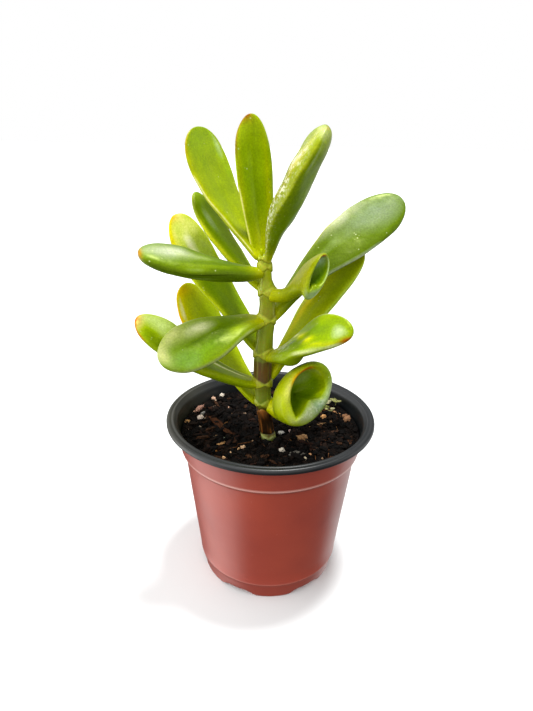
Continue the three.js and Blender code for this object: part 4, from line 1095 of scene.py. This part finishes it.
def make_soil():
    soil_finish = potting_soil()
    soil = grown_skin("soil_body", 150, 200, soil_growth)
    dress(soil, soil_finish, "potting_soil", "soil")
    draw = random.Random(SOIL_SEED)

    def anywhere(inner=5.0, outer=SOIL_RADIUS - 0.8):
        radius = math.sqrt(draw.uniform((inner / outer) ** 2, 1)) * outer
        angle = draw.uniform(0, TURN)
        return radius * math.cos(angle), radius * math.sin(angle)

    stem_x, stem_y = STEM_AXIS[2][:2]
    crumbs = []
    for _ in range(CRUMB_COUNT):
        x, y = anywhere(0.5)
        if math.hypot(x - stem_x, y - stem_y) < STEM_CLEARANCE:
            continue
        size = draw.uniform(0.35, 0.9) if draw.random() < 0.65 else draw.uniform(0.9, 2.0)
        shape = (size, size * draw.uniform(0.6, 1), size * draw.uniform(0.5, 0.9))
        shade = draw.choice(CRUMB_TONES)
        rests = soil_height(x, y) + 0.25 * size
        crumbs.append((spot(x, y, rests, shape, random_turn(draw)), linear(shade)))
    scattered("soil_crumbs", stone_model("crumb", 1, 0.9), crumbs, soil_finish, smooth=False)

    stones = list(GRIT)
    for _ in range(STRAY_GRIT):
        x, y = anywhere()
        stones.append((x, y, draw.uniform(0.3, 0.8), draw.choice(GRIT_TONES)))
    grit = []
    for x, y, size, shade in stones:
        shape = (size, size * draw.uniform(0.75, 1), size * draw.uniform(0.65, 0.9))
        rests = soil_height(x, y) + 0.4 * size
        grit.append((spot(x, y, rests, shape, random_turn(draw)), linear(shade)))
    scattered("soil_grit", stone_model("grit_stone", 2, 0.5), grit, soil_finish)

    bark = [(lying(*place), linear(shade)) for *place, shade in BARK]
    for _ in range(STRAY_BARK):
        x, y = anywhere(6.5, SOIL_RADIUS - 3)
        length = draw.uniform(1.8, 6.5)
        sizes = (length, length * draw.uniform(0.2, 0.55), draw.uniform(0.4, 1.2))
        bark.append((lying(x, y, *sizes, draw.uniform(0, 360), 0.7, draw.uniform(-0.35, 0.35)),
                     linear(draw.choice(BARK_TONES))))
    scattered("soil_bark", splinter_model("bark_chip", 1, 0.5), bark, soil_finish, smooth=False)

    fibres = []
    for _ in range(STRAY_FIBRES):
        x, y = anywhere(6.5, SOIL_RADIUS - 5)
        fibres.append((lying(x, y, draw.uniform(3, 8), 0.3, 0.3, draw.uniform(0, 360), 2.2,
                             draw.uniform(-0.15, 0.15)), linear(draw.choice(FIBRE_TONES))))
    scattered("soil_fibres", splinter_model("root_fibre", 2, 0.6), fibres, soil_finish)

    leaflets = []
    for x, y, height in SEEDLINGS:
        ground = soil_height(x, y)
        for k in range(4):
            azimuth = 90 * k + draw.uniform(-30, 30)
            away = draw.uniform(1.2, 1.9)
            out = direction(azimuth, 0)
            place = (x + out.x * away, y + out.y * away, ground + height - draw.uniform(0, 1.0))
            turn = Quaternion((0, 0, 1), math.radians(azimuth)) @ Quaternion((0, 1, 0), -0.3)
            shape = (draw.uniform(1.5, 2.3), draw.uniform(1.1, 1.6), 0.35)
            leaflets.append((spot(*place, shape, turn), linear(draw.choice(LEAFLET_TONES))))
        stalk = spot(x, y, ground + height / 2 - 0.5, (0.3, 0.3, height / 2 + 0.3), Quaternion())
        leaflets.append((stalk, linear(LEAFLET_TONES[0])))
    scattered("soil_seedlings", stone_model("leaflet", 2, 0.25), leaflets, soil_finish)


# ---- Stem ------------------------------------------------------------------------------------
# A collar stands out at each joint between two seams.
COLLAR_RISE, COLLAR_EDGE, COLLAR_TONE = 0.45, 1.2, "#b4ba2c"
LOWER_SEAM, LOWER_SEAM_REACH, SEAM_TONE = 0.4, 0.32, "#5c5214"
UPPER_SEAM, UPPER_SEAM_REACH = 0.2, 0.5
COLLAR_HALF_HEIGHT = 0.3
# The woody foot hides half of a collar's colour below this height.
WOODY_BELOW = 100
RIDGE_RISE, RIDGE_SIZE, RIDGE_LENGTH, RIDGE_TONE = 0.25, 2.4, 28, "#a8b448"
# The stem's colours run into each other along a wavering edge.
WAVER, WAVER_SIZE, WAVER_LENGTH = 1.4, 1.5, 4

# The dried sheath's clearance from the stem, its folds, its thickness and where it peels outwards.
SHEATH_CLEARANCE, SHEATH_FOLD, SHEATH_THICKNESS = 0.3, 0.35, 0.25
TEAR, PEEL_RISE, PEEL_REACH, PEEL_OUT = 1.6, 2.2, 22, 1.2
SHEATH_DARK, SHEATH_TAN, PEEL_TONE = "#241106", "#85501f", "#c27c3c"


def axis_at(z):
    """The stem's axis and radius at a height."""
    for (x0, y0, z0, r0), (x1, y1, z1, r1) in zip(STEM_AXIS, STEM_AXIS[1:]):
        if z <= z1 or z1 == STEM_AXIS[-1][2]:
            share = min(1, max(0, (z - z0) / (z1 - z0)))
            return blend(x0, x1, share), blend(y0, y1, share), blend(r0, r1, ease(share))


STEM_TONES = [
    (62, "#3a2418"), (75.6, "#6f7c34"), (76.8, "#b9bf78"), (77.9, "#7c7638"), (78.6, "#40240f"),
    (90, "#4c2a12"), (92, "#6e6a1c"), (95, "#6c7c14"), (101, "#70781c"), (102.8, "#74701f"),
    (103.8, "#6d6a30"), (106, "#5c4024"), (111, "#64401f"), (114.5, "#5c4420"), (116, "#6f7a22"),
    (121, "#828e10"), (133, "#808e10"), (137, "#80800a"), (145, "#8a940c"), (152, "#a0ac10"),
    (163, "#aab818"),
]


def around(turn, size, level):
    """A place for noise that closes on itself round the stem."""
    return Vector((math.cos(turn) * size, math.sin(turn) * size, level))


def stem_growth(t, v):
    """How the stem grows, from its foot in the soil to its tip, with its joints and colours."""
    low, high = STEM_AXIS[0][2], STEM_AXIS[-1][2]
    z = blend(low, high, t)
    x, y, radius = axis_at(z)
    turn = math.radians(v)
    wavy = z + WAVER * noise.noise(around(turn, WAVER_SIZE, z / WAVER_LENGTH))
    for (z0, tone0), (z1, tone1) in zip(STEM_TONES, STEM_TONES[1:]):
        if wavy <= z1 or z1 == STEM_TONES[-1][0]:
            tone = mixed(linear(tone0), linear(tone1), ease((wavy - z0) / (z1 - z0)))
            break
    # Soft ridges run up each length between two joints, paler along their tops.
    ridge = noise.noise(around(turn, RIDGE_SIZE, z / RIDGE_LENGTH))
    radius += RIDGE_RISE * ridge
    tone = mixed(tone, linear(RIDGE_TONE), 0.2 * ease(ridge * 2.5))
    for level, azimuth, height in STEM_JOINTS:
        wedge = COLLAR_HALF_HEIGHT + height * abs(math.cos(turn - math.radians(azimuth)))
        rise = z - level
        inside = ease((wedge - abs(rise)) / COLLAR_EDGE + 0.5)
        seam = bell(rise + wedge, LOWER_SEAM_REACH)
        radius += COLLAR_RISE * inside - LOWER_SEAM * seam \
            - UPPER_SEAM * bell(rise - wedge, UPPER_SEAM_REACH)
        tone = mixed(tone, linear(COLLAR_TONE), (0.5 if level < WOODY_BELOW else 0.85) * inside)
        tone = mixed(tone, linear(SEAM_TONE), 0.45 * seam)
    if t < 0.003 or t > 0.997:
        return Vector((x, y, z)), (0, 0, 0), tone
    return Vector((x + radius * math.cos(turn), y + radius * math.sin(turn), z)), (0, 0, 0), tone


def sheath_growth(t, v):
    """The dried sheath round the stem's foot: up its outer face to a torn edge and down inside."""
    turn = math.radians(v)
    torn = SHEATH_TOP + TEAR * noise.noise(around(turn, 2, 1)) \
        + PEEL_RISE * bell(angle_apart(v, SHEATH_PEEL), PEEL_REACH)
    outside = t < 0.5
    rise = t * 2 if outside else 2 - 2 * t
    z = blend(SHEATH_FOOT, torn, rise)
    x, y, radius = axis_at(z)
    fold = 0.5 + 0.9 * noise.noise(around(turn, 3.1, z / 26))
    peeled = bell(angle_apart(v, SHEATH_PEEL), 26) * ease(rise * 2 - 1)
    radius += SHEATH_CLEARANCE + SHEATH_FOLD * fold + PEEL_OUT * peeled
    if outside and 0 < rise < 1:
        radius += SHEATH_THICKNESS
    # Narrow tan streaks run up the dark sheath, and its torn edge is paler.
    streak = noise.noise(around(turn, 6, z / 14 + 3))
    tone = mixed(linear(SHEATH_DARK), linear(SHEATH_TAN), ease(streak * 4 - 0.6) * 0.8)
    tone = mixed(tone, linear(PEEL_TONE), 0.6 * peeled + 0.3 * bell(1 - rise, 0.08))
    return Vector((x + radius * math.cos(turn), y + radius * math.sin(turn), z)), (0, 0, 0), tone


def make_plant():
    stem = grown_skin("stem_skin", 330, 64, stem_growth)
    bark = stem_skin()
    dress(stem, bark, "stem_skin", "stem")
    sheath = grown_skin("stem_sheath", 40, 96, sheath_growth)
    dress(sheath, bark, "stem_skin")
    flesh = leaf_flesh()
    for leaves, rows, sides, growth in ((BLADES, 46, 32, blade_growth), (CUPS, 80, 56, cup_growth)):
        for name, leaf in leaves.items():
            piece = grown_skin(name + "_blade", rows, sides, growth(leaf))
            apply_modifier(piece, "SUBSURF", levels=1, render_levels=1)
            dress(piece, flesh, "leaf_flesh", name)
    halves = []
    for foot, tip, azimuth, width, thick in BUD_LEAVES:
        leaf = {
            "foot": foot, "tip": tip, "leaves": (azimuth, 80), "ends": (azimuth, 88),
            "width": width, "thick": thick, "widest": 0.5, "neck": 0.7, "fold": (40, 30, 20),
            "roll": (0, 0), "tones": ("#8fa016", "#86a01e", "#9cb044", "#aebc5c"),
        }
        halves.append(grown_skin("bud_leaf", 20, 16, blade_growth(leaf)))
    bud = joined(halves)
    bud.name = "leaf_bud_pair"
    dress(bud, flesh, "leaf_flesh", "leaf_bud")


# ---- Studio ----------------------------------------------------------------------------------
ROOM_GLOW = 0.36
ROOM_BELOW = 0.14
# Azimuth, elevation, cosine of the box's edge and strength.
SOFT_BOXES = [
    (165, 42, 0.25, 0.95), (180, -6, 0.8, 1.9), (3, 5, 0.86, 1.2), (-95, 30, 0.3, 0.85),
    (-172, -32, 0.76, 1.4), (50, -26, 0.8, 0.85),
]
# Azimuth, elevation, strength and the angle that softens the shadow.
SUNS = [("front", -145, 40, 0.6, 70), ("back", 34, 81, 3.2, 11)]
FLOOR_TONE = "#e6e9e9"
# The photograph's camera: its place, how far it looks down and leans, and its focal length and the
# picture's height, both in pixels.
CAMERA_PLACE = (-2.46, -228.91, 206.42)
CAMERA_DOWN, CAMERA_LEAN = 22.08, 1.02
FOCAL_LENGTH, FRAME_HEIGHT = 530, 711
SENSOR = 36


def make_studio():
    deselect()
    bpy.ops.mesh.primitive_plane_add(size=40)
    floor = bpy.context.object
    floor.name = "floor"
    paper, tree, shader = new_finish("pale_paper", Roughness=1.0, Specular_IOR_Level=0.0)
    shader.inputs["Base Color"].default_value = linear(FLOOR_TONE)
    floor.data.materials.append(paper)
    floor.visible_diffuse = floor.visible_glossy = False

    # A white room with soft boxes round the plant, the brightest at its left, and dim from below.
    world = bpy.data.worlds.new("white_studio")
    world.use_nodes = True
    tree = world.node_tree
    way = node(tree, "TexCoord").outputs["Generated"]
    glow = node(tree, "MapRange", {
        "Value": node(tree, "SeparateXYZ", {0: way}).outputs["Z"],
        1: -0.25, 2: 0.1, 3: ROOM_BELOW, 4: ROOM_GLOW}).outputs[0]
    for azimuth, elevation, edge, strength in SOFT_BOXES:
        facing = node(tree, "VectorMath", {0: way, 1: tuple(direction(azimuth, elevation))},
                      operation="DOT_PRODUCT").outputs["Value"]
        box = node(tree, "MapRange", {"Value": facing, 1: edge, 2: 0.95, 3: 0.0, 4: strength},
                   interpolation_type="SMOOTHSTEP").outputs[0]
        glow = node(tree, "Math", {0: glow, 1: box}, operation="ADD").outputs[0]
    seen = node(tree, "LightPath").outputs["Is Camera Ray"]
    backdrop = node(tree, "Mix", {0: seen, 2: glow, 3: 1.0}, data_type="FLOAT")
    tree.links.new(backdrop.outputs[0], tree.nodes["Background"].inputs["Strength"])
    tree.nodes["Background"].inputs["Color"].default_value = (1, 1, 1, 1)
    bpy.context.scene.world = world

    for name, azimuth, elevation, strength, softness in SUNS:
        lamp = bpy.data.lights.new(name, "SUN")
        lamp.energy = strength
        lamp.angle = math.radians(softness)
        light = bpy.data.objects.new(name, lamp)
        light.rotation_mode = "QUATERNION"
        light.rotation_quaternion = direction(azimuth, elevation).to_track_quat("Z", "Y")
        bpy.context.scene.collection.objects.link(light)

    camera = bpy.data.cameras.new("camera")
    camera.sensor_width = SENSOR
    camera.lens = SENSOR * FOCAL_LENGTH / FRAME_HEIGHT
    viewer = bpy.data.objects.new("camera", camera)
    viewer.location = Vector(CAMERA_PLACE) * MM
    viewer.rotation_mode = "QUATERNION"
    tilt = Quaternion((1, 0, 0), math.radians(90 - CAMERA_DOWN))
    viewer.rotation_quaternion = tilt @ Quaternion((0, 0, 1), math.radians(CAMERA_LEAN))
    bpy.context.scene.collection.objects.link(viewer)
    bpy.context.scene.camera = viewer
    bpy.context.scene.view_settings.view_transform = "Standard"


make_studio()
make_pot()
make_soil()
make_plant()
